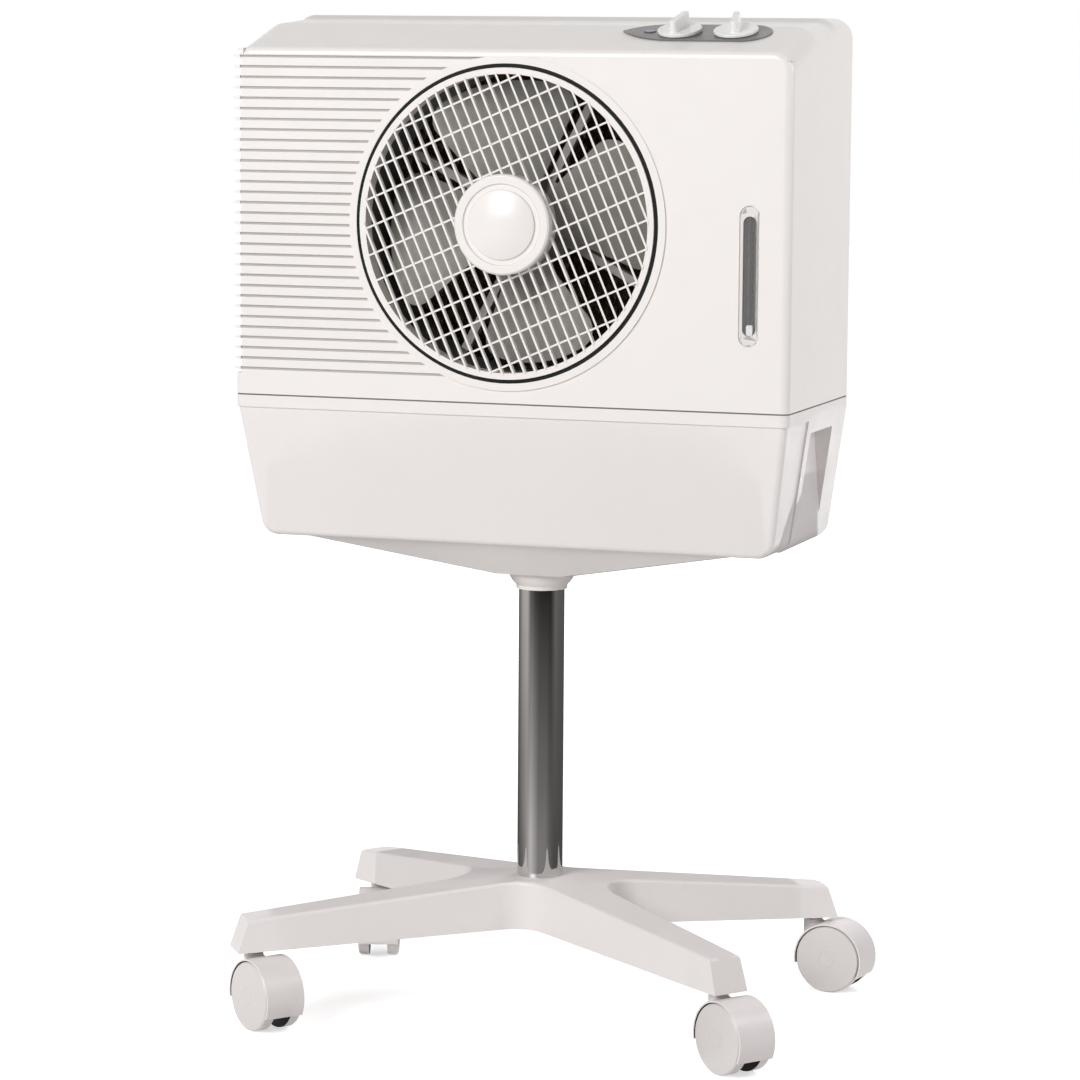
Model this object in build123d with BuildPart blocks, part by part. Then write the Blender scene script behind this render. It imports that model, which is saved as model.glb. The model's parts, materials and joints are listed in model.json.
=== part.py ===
from build123d import *

import os
from math import atan2, cos, degrees, hypot, radians, sin, tan

# Evaporative cooler on a chrome pedestal, with an X base and four twin-wheel casters.
# Millimetres, +Z up. The front faces -Y and +X is on the right of someone who looks at it.
# The origin is on the floor, on the column's axis.

os.makedirs("parts", exist_ok=True)

# ---------------------------------------------------------------- driving dimensions
# Fits
running_gap = 0.06         # radial, for a shaft that turns or slides in its bore
press_gap = 0.02           # radial, for a piece pushed into its seat
seat_gap = 0.3             # between pieces that move past each other, and round loose seats
rest_gap = 0.1             # between pieces that lie on each other

# Housing
housing_width = 620
housing_depth = 250
seam_height = 678          # the casing stands on the tank here
parting_setback = 89       # from the front face to the plane where the casing's halves meet
parting_rise = 26          # top of the casing at that plane, above the front face's top edge
slope_rise = 5             # from there up to the foot of the deck's step
deck_rise = 4              # height of the deck's step
deck_setback = 178         # from the front face to the deck's front edge
deck_step_run = 10
top_round = 22
front_round = 9
rear_round = 12
wall = 3

# Ribbed left part of the casing
rib_start = 28.5           # from the seam to the lowest rib
rib_pitch = 11.15
rib_headroom = 8.5         # least distance from the highest rib to the front face's top edge
rib_width = 3
rib_depth = 2
fin_reach = 8              # fins on the left side stand out this far from its wall
fin_root = 5
fin_edge = 1.4

# Fan opening
bezel_radius = 176
bezel_low_margin = 14      # from the seam to the bezel
bezel_high_margin = 6      # from the bezel to the front face's top edge
bezel_width = 8
bezel_rise = 2
bearing_ring_width = 4
bearing_ring_depth = 13.5

# Rotating grille
grille_rim_width = 6.7
grille_front = 4           # the grille stands this far ahead of the front face
grille_depth = 12
grille_flange_reach = 6
grille_flange_thickness = 2.5
grille_turn = 23.5         # how far the grille has turned at rest
vane_pitch = 11.8
vane_thickness = 2.2
vane_tilt = 16             # degrees from straight ahead
vane_break = 45            # vanes beyond this lean the other way
wire_pitch = 27.5
wire_thickness = 2
hub_radius = 53
hub_wall = 5
hub_front = 9              # the hub's barrel stands this far ahead of the grille
cap_flange = 3
cap_dome_radius = 37
cap_dome_rise = 7
cap_groove_width = 6
cap_groove_depth = 2
cap_spigot_length = 5
cap_edge = 2

# Fan, motor and duct
duct_step = 6              # from the bearing ring's bore to the duct's
duct_flange = 22           # the duct's square plate stands out this far from its bore
duct_screw_inset = 8
duct_plate_thickness = 3
duct_wall = 2.5
duct_length = 64
tip_gap = 8                # from the blades' tips to the duct
fan_hub_radius = 36
fan_hub_length = 42
fan_hub_chamfer = 5
fan_setback = 9            # from the grille's back to the fan's front
blade_count = 4
blade_thickness = 2.4
blade_pitch_root = 35      # degrees from the fan's plane
blade_pitch_tip = 17
blade_spread = 32          # each blade covers this many degrees either side of its middle
blade_corner = 22
first_blade = 10           # angle of the first blade
nut_radius = 12
nut_length = 7.5
shaft_radius = 4
shaft_ahead = 5
motor_radius = 44
motor_length = 62
motor_chamfer = 6
motor_nose_radius = 12
motor_nose_length = 8
motor_end_wall = 8
bracket_plate_radius = 50
bracket_thickness = 4
bracket_arm_width = 9
bracket_arm_depth = 10
first_bracket_arm = 62
lug_size = 16

# Level gauge
gauge_inset = 44           # from the casing's right side to the middle of the gauge
gauge_rise = 142           # from the seam to the middle of the gauge
gauge_width = 21.5
gauge_length = 146
lens_side_rim = 3.5        # the lens is stepped to sit in its window, by this at the sides
lens_end_rim = 11          # and by this at its ends
gauge_channel_depth = 9
channel_rim = 2            # the channel behind the lens is this much smaller than the lens
channel_wall = 2
marker_width = 7
marker_height = 11
marker_round = 2
marker_depth = 5
float_travel = 112
float_setback = 47         # from the front face to the rod
float_radius = 14
float_height = 26
float_clearance = 8        # under the float when the tank is empty
rod_radius = 2.5
ear_size = 16              # eyes that guide the rod
ear_thickness = 4
ear_pitch = 44
ear_drop = 22              # from the marker's lowest place to the upper eye
clip_height = 5
clip_wall = 3
arm_width = 3              # arm from the rod to the marker
arm_room = 1

# Controls on the slanted top
panel_inset = 122          # from the casing's right side to the panel's middle
panel_centre_run = 65      # from the front edge, measured up the slope
panel_half_width = 29
panel_left = 82            # from the panel's middle to its pointed left end
panel_right = 81
panel_tip_rise = 4         # the panel's ends lie this far above its middle line
panel_thickness = 1.6
selector_offset = -18      # places along the panel, from its middle
timer_offset = 43
lamp_offset = -51
knob_radius = 23.5
knob_skirt = 4
knob_height = 17
knob_grip_width = 9
knob_grip_inset = 2.5
knob_draft = 4
selector_rest = 84         # direction of each knob's grip at rest, degrees from +X
timer_rest = 101
lamp_length = 13
lamp_width = 8
lamp_rise = 1.2
lamp_lip = 1
spindle_radius = 3
spindle_room = 1           # round the spindles, in the casing and the panel
spindle_depth = 12
switch_size = 34
switch_depth = 26

# Tank
tank_depth = 155           # from the seam to the underside of the floor
rim_band = 13.5
band_step = 2              # the tank's walls stand this far inside its rim
side_taper = 20            # how far each side leans in from rim to floor
front_taper = 22
rear_taper = 4
side_pad_setback = 84      # from here back, the tank's sides stand out flush with its rim
tank_corner = 19
tank_edge_round = 7
mouth_round = 3            # corners of the tank's open mouth
lip_height = 6
grip_width = 89
grip_centre_y = 18.5
grip_drop = 28             # from the seam to the top of the hand grip
grip_height = 95
grip_depth = 18
drain_radius = 7
drain_inset = 110          # from the casing's left side
drain_setback = 23         # from its back
drain_cap_radius = 9
drain_cap_thickness = 5

# Water circuit
pump_width = 46
pump_depth = 40
pump_height = 44
pump_corner = 6
pump_side_gap = 1          # from the pump to the rounded corner of the tank
strainer_height = 8
strainer_wall = 2.5
strainer_slot = 4
impeller_radius = 13
impeller_height = 8
impeller_blade = 2
impeller_hub_radius = 5
impeller_pin_radius = 1.5
impeller_room = 1
spigot_inset = 9           # from the pump's right side to its spigot
spigot_radius = 4
spigot_wall = 1.5
spigot_length = 16
hose_wall = 1.98
hose_bend = 22
hose_lap = 8               # the hose reaches this far into the distributor
hose_gap = 0.2
distributor_wall = 1.8
distributor_end = 3
distributor_slot = 1.6
pad_side = 35              # from the rear opening's sides to the pad
pad_end = 20               # from the rear opening's top and bottom to the pad
pad_thickness = 30
pad_gap = 0.2
pad_setback = 39           # from the back to the middle of the pad
pad_frame_wall = 4
pad_frame_lap = 6

# Rear panel
rear_opening_side = 35     # from the casing's sides to the opening
rear_opening_start = 16    # from the seam to the opening
rear_opening_headroom = 31 # from the opening to the deck
rear_opening_corner = 8
rear_ledge = 10
rear_sill = 9              # the panel's frame laps the pad's frame by this much
panel_screw_inset = 40
slat_count = 17
slat_thickness = 2.5
slat_depth = 17
slat_angle = 35
slat_setback = 1

# Stand
pan_length = 500
pan_width = 180
pan_drop = 38
pan_neck = 90
pan_wall = 4
pan_corner = 12
seat_wall = 6              # round the column's top
collar_radius = 37
collar_drop = 19
collar_foot_radius = 28
collar_foot = 4
column_radius = 25
column_wall = 1.6
column_top_grip = 30       # length of the column inside the pan
hub_thickness = 52         # base at the column, from underside to top
arm_tip_thickness = 35
arm_underside_fall = 13    # from the underside at the hub to that at the tips
arm_flat = 35              # the arms start to fall this far from the column's axis
arm_overhang = 22          # from a stem's axis to the tip of its arm
arm_end_lean = 12
arm_hub_width = 74
arm_tip_width = 44
arm_draft = 3.5
arm_blend = 45
arm_round = 4
arm_plan_drop = 10         # the arms' plan is drawn this far below their tips
base_wall = 4
stem_span_x = 524
stem_span_y = 378
socket_radius = 8
socket_length = 30
socket_wall = 5
plug_height = 26

# Casters
wheel_radius = 37.5
wheel_width = 12.5
wheel_chamfer = 1.5
wheel_crown = 1.8          # the wheels' outer faces bulge by this much, in these steps
crown_steps = (1, 0.8, 0.6, 0.4)
wheel_ring_radius = 9
wheel_ring_width = 1.2
wheel_ring_depth = 0.5
wheel_bore_depth = 8
caster_width = 46
caster_trail = 27
caster_clearance = 4       # between the hoods and the arms
hood_wall = 2
hood_gap = 1               # between the wheels and the hood
hood_web = 14
hood_front_low = 19        # how far the hood reaches below the axle on the trailing side
hood_web_low = 12
hood_back_low = 7
neck_radius = 10.5
neck_blend = 4
stem_radius = 5.5
stem_rise = 24             # from the axle's height to the stem's lower end
stem_top_gap = 1
stem_flange_radius = 9
stem_flange = 3
axle_radius = 3
fl_trail = -36             # direction of each caster's trail at rest, degrees from +X
fr_trail = -36
br_trail = -8
bl_trail = -71

# Cord gland
gland_inset = 22           # from the casing's right side
gland_rise = 42            # from the seam
gland_radius = 6
gland_bore = 3.2
gland_flange = 2
gland_barb = 0.8
gland_tail = 5

# Fasteners
post_rise = 34             # from the seam to the lower posts that the casing's screws go into
post_fall = 18             # from the front face's top edge to the upper posts
post_length = 8
post_web = 5
screw_radius = 2
screw_head_radius = 4
screw_head = 2.5
screw_length = 14
boss_radius = 6
bolt_radius = 5
bolt_head_radius = 8.5
bolt_head = 7
bolt_length = 34

# ---------------------------------------------------------------- derived planes and places
front_y = -housing_depth / 2
back_y = housing_depth / 2
parting_y = front_y + parting_setback
side_x = housing_width / 2
fan_height = seam_height + bezel_low_margin + bezel_radius
front_top_height = fan_height + bezel_radius + bezel_high_margin
parting_height = front_top_height + parting_rise
rear_slope_height = parting_height + slope_rise
deck_height = rear_slope_height + deck_rise
slope = degrees(atan2(parting_rise, parting_setback))
lowest_rib = seam_height + rib_start
rib_count = 1 + int((front_top_height - rib_headroom - lowest_rib) / rib_pitch)
rib_heights = [lowest_rib + i * rib_pitch for i in range(rib_count)]
opening_radius = bezel_radius - bezel_width
ring_inner = opening_radius - bearing_ring_width
grille_rim_radius = ring_inner - seat_gap
duct_radius = ring_inner - duct_step
duct_plate_size = 2 * (duct_radius + duct_flange)
fan_radius = duct_radius - tip_gap
grille_front_y = front_y - grille_front
grille_back_y = grille_front_y + grille_depth
flange_front_y = front_y - bezel_rise + bearing_ring_depth + seat_gap
flange_back_y = flange_front_y + grille_flange_thickness
duct_front_y = flange_back_y + seat_gap
duct_back_y = duct_front_y + duct_length
fan_front_y = flange_back_y + fan_setback
motor_front_y = duct_back_y + bracket_thickness
gauge_x = side_x - gauge_inset
gauge_height = seam_height + gauge_rise
window_length = gauge_length - 2 * lens_end_rim
window_width = gauge_width - 2 * lens_side_rim
channel_length = gauge_length - 2 * channel_rim
channel_width = gauge_width - 2 * channel_rim
panel_centre_x = side_x - panel_inset
selector_x = panel_centre_x + selector_offset
timer_x = panel_centre_x + timer_offset
lamp_x = panel_centre_x + lamp_offset
tank_floor_height = seam_height - tank_depth
drain_x = -side_x + drain_inset
drain_y = back_y - drain_setback
grip_top = seam_height - grip_drop
grip_bottom = grip_top - grip_height
rear_opening_width = housing_width - 2 * rear_opening_side
rear_opening_base = seam_height + rear_opening_start
rear_opening_height = deck_height - rear_opening_headroom - rear_opening_base
rear_opening_z = rear_opening_base + rear_opening_height / 2
pad_width = rear_opening_width - 2 * pad_side
pad_height = rear_opening_height - 2 * pad_end
pad_base = rear_opening_base + pad_end
pad_y = back_y - pad_setback
post_x = side_x - fin_reach - wall - boss_radius
gland_x = side_x - gland_inset
gland_height = seam_height + gland_rise
post_heights = (seam_height + post_rise, front_top_height - post_fall)
pan_top = tank_floor_height
pan_low = pan_top - pan_drop
column_high = pan_low + column_top_grip
arm_tip_low = 2 * wheel_radius + hood_gap + hood_wall + caster_clearance
arm_tip_high = arm_tip_low + arm_tip_thickness
base_floor = arm_tip_low + arm_underside_fall
hub_top = base_floor + hub_thickness
column_low = base_floor + base_wall
arm_reach = hypot(stem_span_x, stem_span_y) / 2 + arm_overhang


def write_node(piece, node):
    """Label a finished piece and write it as one node."""
    piece.part.label = node
    export_step(piece.part, f"parts/{node}.step")


def roof(y):
    """Height of the casing's top at depth y."""
    stations = (
        (front_y, front_top_height),
        (parting_y, parting_height),
        (front_y + deck_setback - deck_step_run, rear_slope_height),
        (front_y + deck_setback, deck_height),
        (back_y, deck_height),
    )
    for (y0, z0), (y1, z1) in zip(stations, stations[1:]):
        if y <= y1:
            return z0 + (z1 - z0) * (y - y0) / (y1 - y0)
    return deck_height


def facing_front(y):
    """Sketch plane at depth y: its x is X, its y is Z, and it faces the front."""
    return Plane.XZ.offset(-y)


def fan_plane(y):
    """Sketch plane at depth y with its origin on the fan's axis."""
    return Plane(origin=(0, y, fan_height), x_dir=(1, 0, 0), z_dir=(0, -1, 0))


def casing_form(inset):
    """Outside of the casing, or the space inside it when inset by the wall."""
    depths = (
        front_y + inset,
        parting_y,
        front_y + deck_setback - deck_step_run,
        front_y + deck_setback,
        back_y - inset,
    )
    low = seam_height - inset
    with BuildPart() as form:
        for ends in zip(depths, depths[1:]):
            for y in ends:
                top = roof(y) - inset
                with BuildSketch(facing_front(y)) as section:
                    with Locations((0, (low + top) / 2)):
                        Rectangle(housing_width - 2 * inset, top - low)
                    fillet(section.vertices().group_by(Axis.Y)[-1], top_round - inset)
            loft(ruled=True)
        for y, radius in ((front_y + inset, front_round), (back_y - inset, rear_round)):
            face = form.faces().filter_by(Axis.Y).sort_by(lambda f: abs(f.center().Y - y))[0]
            rim = face.edges().filter_by(lambda e: e.center().Z > low + 1)
            fillet(rim, radius - inset)
    return form.part


casing_outside = casing_form(0)
casing_inside = casing_form(wall)


# ---------------------------------------------------------------- front casing
post_places = [(x, z) for x in (-post_x, post_x) for z in post_heights]


def screw_posts(length):
    """Four bored posts on webs from the side walls, from the parting plane (negative is rearward)."""
    with BuildPart() as posts:
        with BuildSketch(facing_front(parting_y)):
            for x, z in post_places:
                wall_x = side_x - wall + 1 if x > 0 else -side_x + fin_reach + 1
                with Locations(((x + wall_x) / 2, z)):
                    Rectangle(abs(wall_x - x), post_web)
            with Locations(*post_places):
                Circle(boss_radius)
                Circle(screw_radius, mode=Mode.SUBTRACT)
        extrude(amount=length)
    return posts.part


duct_screws = duct_plate_size / 2 - duct_screw_inset
panel_screw_span = (rear_opening_width - 2 * panel_screw_inset, rear_opening_height - rear_ledge)
slope_plane = Plane(
    origin=(0, front_y, front_top_height),
    x_dir=(1, 0, 0),
    z_dir=(0, -sin(radians(slope)), cos(radians(slope))),
)
fin_base_x = -side_x + fin_reach
ribs_low = rib_heights[0] - rib_pitch / 2
ribs_high = rib_heights[-1] + rib_pitch / 2


def left_pocket(y0, y1):
    """Space between the fins on the casing's left side, from depth y0 to y1."""
    with BuildPart() as pocket:
        with BuildSketch(facing_front(y0)):
            with Locations((-side_x, (ribs_low + ribs_high) / 2)):
                Rectangle(2 * fin_reach, ribs_high - ribs_low)
        extrude(amount=-(y1 - y0))
    return pocket.part


def left_wall(y0, y1):
    """Left wall, set back between two flush ledges, with one pointed fin for each rib."""
    outer = -side_x + front_round / 2
    with BuildPart() as ribbed:
        with BuildSketch(facing_front(y0)):
            with Locations((fin_base_x + wall / 2, (ribs_low + ribs_high) / 2)):
                Rectangle(wall, ribs_high - ribs_low + 2 * wall)
            for z in (ribs_low - wall / 2, ribs_high + wall / 2):
                with Locations(((outer + fin_base_x) / 2, z)):
                    Rectangle(fin_base_x - outer, wall)
            for z in rib_heights:
                with BuildLine():
                    Polyline(
                        (fin_base_x, z - fin_root / 2),
                        (-side_x, z - fin_edge / 2),
                        (-side_x, z + fin_edge / 2),
                        (fin_base_x, z + fin_root / 2),
                        close=True,
                    )
                make_face()
        extrude(amount=-(y1 - y0))
    return ribbed.part


with BuildPart() as front_casing:
    add(casing_outside)
    add(casing_inside, mode=Mode.SUBTRACT)
    split(bisect_by=facing_front(parting_y), keep=Keep.TOP)
    add(left_pocket(front_y - 1, parting_y), mode=Mode.SUBTRACT)
    add(left_wall(front_y, parting_y))
    # grooves from the left edge to the bezel
    with BuildSketch(Plane.YZ.offset(fin_base_x - 1)):
        for z in rib_heights:
            with BuildLine():
                Polyline(
                    (front_y - 0.1, z - rib_width / 2),
                    (front_y + rib_depth, z),
                    (front_y - 0.1, z + rib_width / 2),
                    close=True,
                )
            make_face()
    extrude(amount=-fin_base_x + 1, mode=Mode.SUBTRACT)
    # raised bezel round the fan opening
    with BuildSketch(fan_plane(front_y - bezel_rise)):
        Circle(bezel_radius)
    extrude(amount=-(bezel_rise + wall))
    with BuildSketch(fan_plane(front_y - bezel_rise)):
        Circle(opening_radius)
    extrude(amount=-(bezel_rise + 2 * wall), mode=Mode.SUBTRACT)
    # posts that carry the duct plate, and posts for the screws that join the halves
    with BuildSketch(fan_plane(front_y + wall)):
        with GridLocations(2 * duct_screws, 2 * duct_screws, 2, 2):
            Circle(boss_radius)
            Circle(screw_radius, mode=Mode.SUBTRACT)
    extrude(amount=-(duct_front_y - front_y - wall))
    add(screw_posts(2 * boss_radius))
    # window of the level gauge, stepped for the lens
    with BuildSketch(facing_front(front_y - 1)):
        with Locations((gauge_x, gauge_height)):
            SlotOverall(window_length, window_width, rotation=90)
    extrude(amount=-(wall + 2), mode=Mode.SUBTRACT)
    with BuildSketch(facing_front(front_y - 1)):
        with Locations((gauge_x, gauge_height)):
            SlotOverall(gauge_length + seat_gap, gauge_width + seat_gap, rotation=90)
    extrude(amount=-(1 + wall / 2), mode=Mode.SUBTRACT)
    # holes for the two spindles and the lamp in the slanted top
    with BuildSketch(slope_plane.offset(2)):
        with Locations((selector_x, panel_centre_run), (timer_x, panel_centre_run)):
            Circle(spindle_radius + spindle_room)
        with Locations((lamp_x, panel_centre_run)):
            Ellipse(lamp_length / 2 - lamp_lip, lamp_width / 2 - lamp_lip)
    extrude(amount=-(2 * wall + 2), mode=Mode.SUBTRACT)
write_node(front_casing, "front_casing")

# ---------------------------------------------------------------- rear casing
with BuildPart() as rear_casing:
    add(casing_outside)
    add(casing_inside, mode=Mode.SUBTRACT)
    split(bisect_by=facing_front(parting_y), keep=Keep.BOTTOM)
    add(left_pocket(parting_y, back_y - rear_round), mode=Mode.SUBTRACT)
    add(left_wall(parting_y, back_y - rear_round))
    with BuildSketch(facing_front(back_y + 1)):
        with Locations((0, rear_opening_z)):
            RectangleRounded(rear_opening_width, rear_opening_height, rear_opening_corner)
    extrude(amount=wall + 2, mode=Mode.SUBTRACT)
    # ledge that the rear panel lies against, with holes for its screws
    with BuildSketch(facing_front(back_y - wall)):
        with Locations((0, rear_opening_z)):
            Rectangle(rear_opening_width + 2 * wall, rear_opening_height + 2 * wall)
            Rectangle(
                rear_opening_width - 2 * rear_ledge, rear_opening_height - 2 * rear_ledge, mode=Mode.SUBTRACT
            )
            with GridLocations(*panel_screw_span, 2, 2):
                Circle(screw_radius, mode=Mode.SUBTRACT)
    extrude(amount=wall)
    add(screw_posts(-post_length))
    with BuildSketch(facing_front(back_y)):
        with Locations((gland_x, gland_height)):
            Circle(gland_radius)
    extrude(amount=wall, mode=Mode.SUBTRACT)
write_node(rear_casing, "rear_casing")

with BuildPart() as casing_screws:
    with BuildSketch(facing_front(parting_y + post_length)):
        with Locations(*post_places):
            Circle(screw_radius - press_gap)
    extrude(amount=screw_length)
    with BuildSketch(facing_front(parting_y + post_length)):
        with Locations(*post_places):
            Circle(screw_head_radius)
    extrude(amount=-screw_head)
write_node(casing_screws, "casing_screws")

# bush that the power cord passes through
with BuildPart() as cord_gland:
    with BuildSketch(Plane.XY.offset(gland_height)):
        with BuildLine():
            Polyline(
                (gland_x + gland_bore, back_y + gland_flange),
                (gland_x + gland_radius + gland_flange, back_y + gland_flange),
                (gland_x + gland_radius + gland_flange, back_y),
                (gland_x + gland_radius - press_gap, back_y),
                (gland_x + gland_radius - press_gap, back_y - wall - seat_gap),
                (gland_x + gland_radius + gland_barb, back_y - wall - seat_gap - gland_barb),
                (gland_x + gland_radius - gland_barb, back_y - wall - gland_tail),
                (gland_x + gland_bore, back_y - wall - gland_tail),
                close=True,
            )
        make_face()
    revolve(axis=Axis((gland_x, 0, gland_height), (0, 1, 0)))
write_node(cord_gland, "cord_gland")

# ---------------------------------------------------------------- fan opening: bearing ring, grille, hub cap
with BuildPart() as bearing_ring:
    with BuildSketch(fan_plane(front_y - bezel_rise)):
        Circle(opening_radius - press_gap)
        Circle(ring_inner, mode=Mode.SUBTRACT)
    extrude(amount=-bearing_ring_depth)
write_node(bearing_ring, "bearing_ring")

grille_clear = grille_rim_radius - grille_rim_width
turn = radians(grille_turn)
across = Vector(cos(turn), 0, sin(turn))       # from vane to vane
along = Vector(-sin(turn), 0, cos(turn))       # along a vane
vane_front_y = grille_front_y + wire_thickness
vane_depth = grille_back_y - vane_front_y
vane_half_count = int(grille_clear / vane_pitch)
wire_half_count = int(grille_clear / wire_pitch)


def vane_lattice():
    """Tilted vanes with thin cross wires on their front edges, clipped to the rim and the hub."""
    with BuildPart() as lattice:
        vane_section = Plane(origin=(0, vane_front_y, fan_height), x_dir=across, z_dir=along * -1)
        with BuildSketch(vane_section):
            for i in range(-vane_half_count, vane_half_count):
                middle = (i + 0.5) * vane_pitch
                lean = vane_tilt if middle < vane_break else -vane_tilt
                shift = vane_depth * tan(radians(lean)) / 2
                half = vane_thickness / 2
                with BuildLine():
                    Polyline(
                        (middle + shift - half, 0),
                        (middle + shift + half, 0),
                        (middle - shift + half, vane_depth),
                        (middle - shift - half, vane_depth),
                        close=True,
                    )
                make_face()
        extrude(amount=grille_clear + 2, both=True)
        with BuildSketch(Plane(origin=(0, grille_front_y, fan_height), x_dir=across, z_dir=(0, -1, 0))):
            for j in range(-wire_half_count, wire_half_count + 1):
                with Locations((0, j * wire_pitch)):
                    Rectangle(2 * grille_clear + 4, wire_thickness)
        extrude(amount=-wire_thickness)
        with BuildSketch(fan_plane(grille_front_y - 1)):
            Circle(grille_clear + 1.5)
            Circle(hub_radius - 1.5, mode=Mode.SUBTRACT)
        extrude(amount=-(grille_depth + 2), mode=Mode.INTERSECT)
    return lattice.part


hub_front_y = grille_front_y - hub_front
with BuildPart() as rotating_grille:
    with BuildSketch(fan_plane(grille_front_y)):
        Circle(grille_rim_radius)
        Circle(grille_clear, mode=Mode.SUBTRACT)
    extrude(amount=-(flange_back_y - grille_front_y))
    with BuildSketch(fan_plane(flange_front_y)):
        Circle(grille_rim_radius + grille_flange_reach)
        Circle(grille_rim_radius - 1, mode=Mode.SUBTRACT)
    extrude(amount=-grille_flange_thickness)
    with BuildSketch(fan_plane(hub_front_y)):
        Circle(hub_radius)
        Circle(hub_radius - hub_wall, mode=Mode.SUBTRACT)
    extrude(amount=-(hub_front + grille_depth))
    with BuildSketch(fan_plane(grille_back_y)):
        Circle(hub_radius - hub_wall / 2)
    extrude(amount=wire_thickness)
    add(vane_lattice())
write_node(rotating_grille, "rotating_grille")

cap_spigot = hub_radius - hub_wall - press_gap
cap_y = hub_front_y - cap_flange
with BuildPart() as grille_hub_cap:
    with BuildSketch(Plane.XY.offset(fan_height)):
        with BuildLine():
            Line((0, hub_front_y), (0, cap_y - cap_dome_rise))
            dome_radius = (cap_dome_radius**2 + cap_dome_rise**2) / (2 * cap_dome_rise)
            RadiusArc((0, cap_y - cap_dome_rise), (cap_dome_radius, cap_y), -dome_radius)
            Polyline(
                (cap_dome_radius, cap_y),
                (cap_dome_radius, cap_y + cap_groove_depth),
                (cap_dome_radius + cap_groove_width - cap_edge / 2, cap_y + cap_groove_depth),
                (cap_dome_radius + cap_groove_width, cap_y),
                (hub_radius - cap_edge, cap_y),
                (hub_radius, cap_y + cap_edge),
                (hub_radius, hub_front_y),
                (cap_spigot, hub_front_y),
                (cap_spigot, hub_front_y + cap_spigot_length),
                (cap_spigot - cap_edge, hub_front_y + cap_spigot_length),
                (cap_spigot - cap_edge, hub_front_y),
                (0, hub_front_y),
            )
        make_face()
    revolve(axis=Axis((0, 0, fan_height), (0, 1, 0)))
write_node(grille_hub_cap, "grille_hub_cap")

# ---------------------------------------------------------------- duct, bracket, motor, fan
duct_outer = duct_radius + duct_wall
bracket_reach = duct_outer + lug_size
arm_angles = [first_bracket_arm + 90 * i for i in range(4)]
with BuildPart() as air_duct:
    with BuildSketch(fan_plane(duct_front_y)):
        RectangleRounded(duct_plate_size, duct_plate_size, 2 * boss_radius)
        with GridLocations(2 * duct_screws, 2 * duct_screws, 2, 2):
            Circle(screw_radius + seat_gap, mode=Mode.SUBTRACT)
    extrude(amount=-duct_plate_thickness)
    with BuildSketch(fan_plane(duct_front_y)):
        Circle(duct_outer)
    extrude(amount=-duct_length)
    with BuildSketch(fan_plane(duct_back_y)):
        for angle in arm_angles:
            with PolarLocations(duct_outer + lug_size / 2 - 2, 1, angle):
                Rectangle(lug_size + 4, lug_size)
    extrude(amount=bracket_thickness)
    with BuildSketch(fan_plane(duct_front_y)):
        Circle(duct_radius)
    extrude(amount=-duct_length, mode=Mode.SUBTRACT)
write_node(air_duct, "air_duct")

with BuildPart() as motor_bracket:
    with BuildSketch(fan_plane(duct_back_y)):
        Circle(bracket_plate_radius)
        for angle in arm_angles:
            with PolarLocations((bracket_reach + motor_radius) / 2, 1, angle):
                Rectangle(bracket_reach - motor_radius, bracket_arm_width)
        Circle(motor_nose_radius + seat_gap, mode=Mode.SUBTRACT)
    extrude(amount=-bracket_thickness)
    with BuildSketch(fan_plane(duct_back_y)):
        for angle in arm_angles:
            with PolarLocations((duct_outer + motor_radius + 2) / 2, 1, angle):
                Rectangle(duct_outer - motor_radius - 2, bracket_arm_width)
    extrude(amount=-bracket_arm_depth)
write_node(motor_bracket, "motor_bracket")

shaft_depth = motor_length - motor_end_wall
with BuildPart() as fan_motor:
    with BuildSketch(fan_plane(motor_front_y)):
        Circle(motor_radius)
    extrude(amount=-motor_length)
    chamfer(faces().sort_by(Axis.Y)[-1].edges(), motor_chamfer)
    with BuildSketch(fan_plane(motor_front_y)):
        Circle(motor_nose_radius)
    extrude(amount=bracket_thickness + motor_nose_length)
    with BuildSketch(fan_plane(duct_back_y - motor_nose_length)):
        Circle(shaft_radius + running_gap)
    extrude(amount=-(bracket_thickness + motor_nose_length + shaft_depth + 1), mode=Mode.SUBTRACT)
write_node(fan_motor, "fan_motor")

with BuildPart() as motor_shaft:
    with BuildSketch(fan_plane(fan_front_y - shaft_ahead)):
        Circle(shaft_radius)
    extrude(amount=-(motor_front_y + shaft_depth - fan_front_y + shaft_ahead))
write_node(motor_shaft, "motor_shaft")

fan_middle_y = fan_front_y + fan_hub_length * 0.6


def fan_blade(angle):
    """One twisted blade, thin and broad, cut to a rounded outline."""
    radial = Vector(cos(radians(angle)), 0, sin(radians(angle)))
    tangent = Vector(-sin(radians(angle)), 0, cos(radians(angle)))
    centre = Vector(0, fan_middle_y, fan_height)
    inner, outer = fan_hub_radius - 4, fan_radius
    with BuildPart() as blade:
        for r, pitch in ((inner, blade_pitch_root), (outer, blade_pitch_tip)):
            chord = tangent * cos(radians(pitch)) + Vector(0, -1, 0) * sin(radians(pitch))
            with BuildSketch(Plane(origin=centre + radial * r, x_dir=chord, z_dir=radial)):
                Rectangle(2.6 * outer * sin(radians(blade_spread)), blade_thickness)
        loft()
        with BuildSketch(fan_plane(fan_front_y - fan_hub_length)) as outline:
            with BuildLine():
                edge = [
                    (r * cos(radians(angle + turn_by)), r * sin(radians(angle + turn_by)))
                    for r, turn_by in (
                        (inner, -blade_spread), (outer, -blade_spread), (outer, 0),
                        (outer, blade_spread), (inner, blade_spread),
                    )
                ]
                Line(edge[0], edge[1])
                ThreePointArc(edge[1], edge[2], edge[3])
                Polyline(edge[3], edge[4], edge[0])
            make_face()
            fillet(outline.vertices().sort_by_distance((0, 0, 0))[2:], blade_corner)
        extrude(amount=-3 * fan_hub_length, mode=Mode.INTERSECT)
    return blade.part


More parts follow.
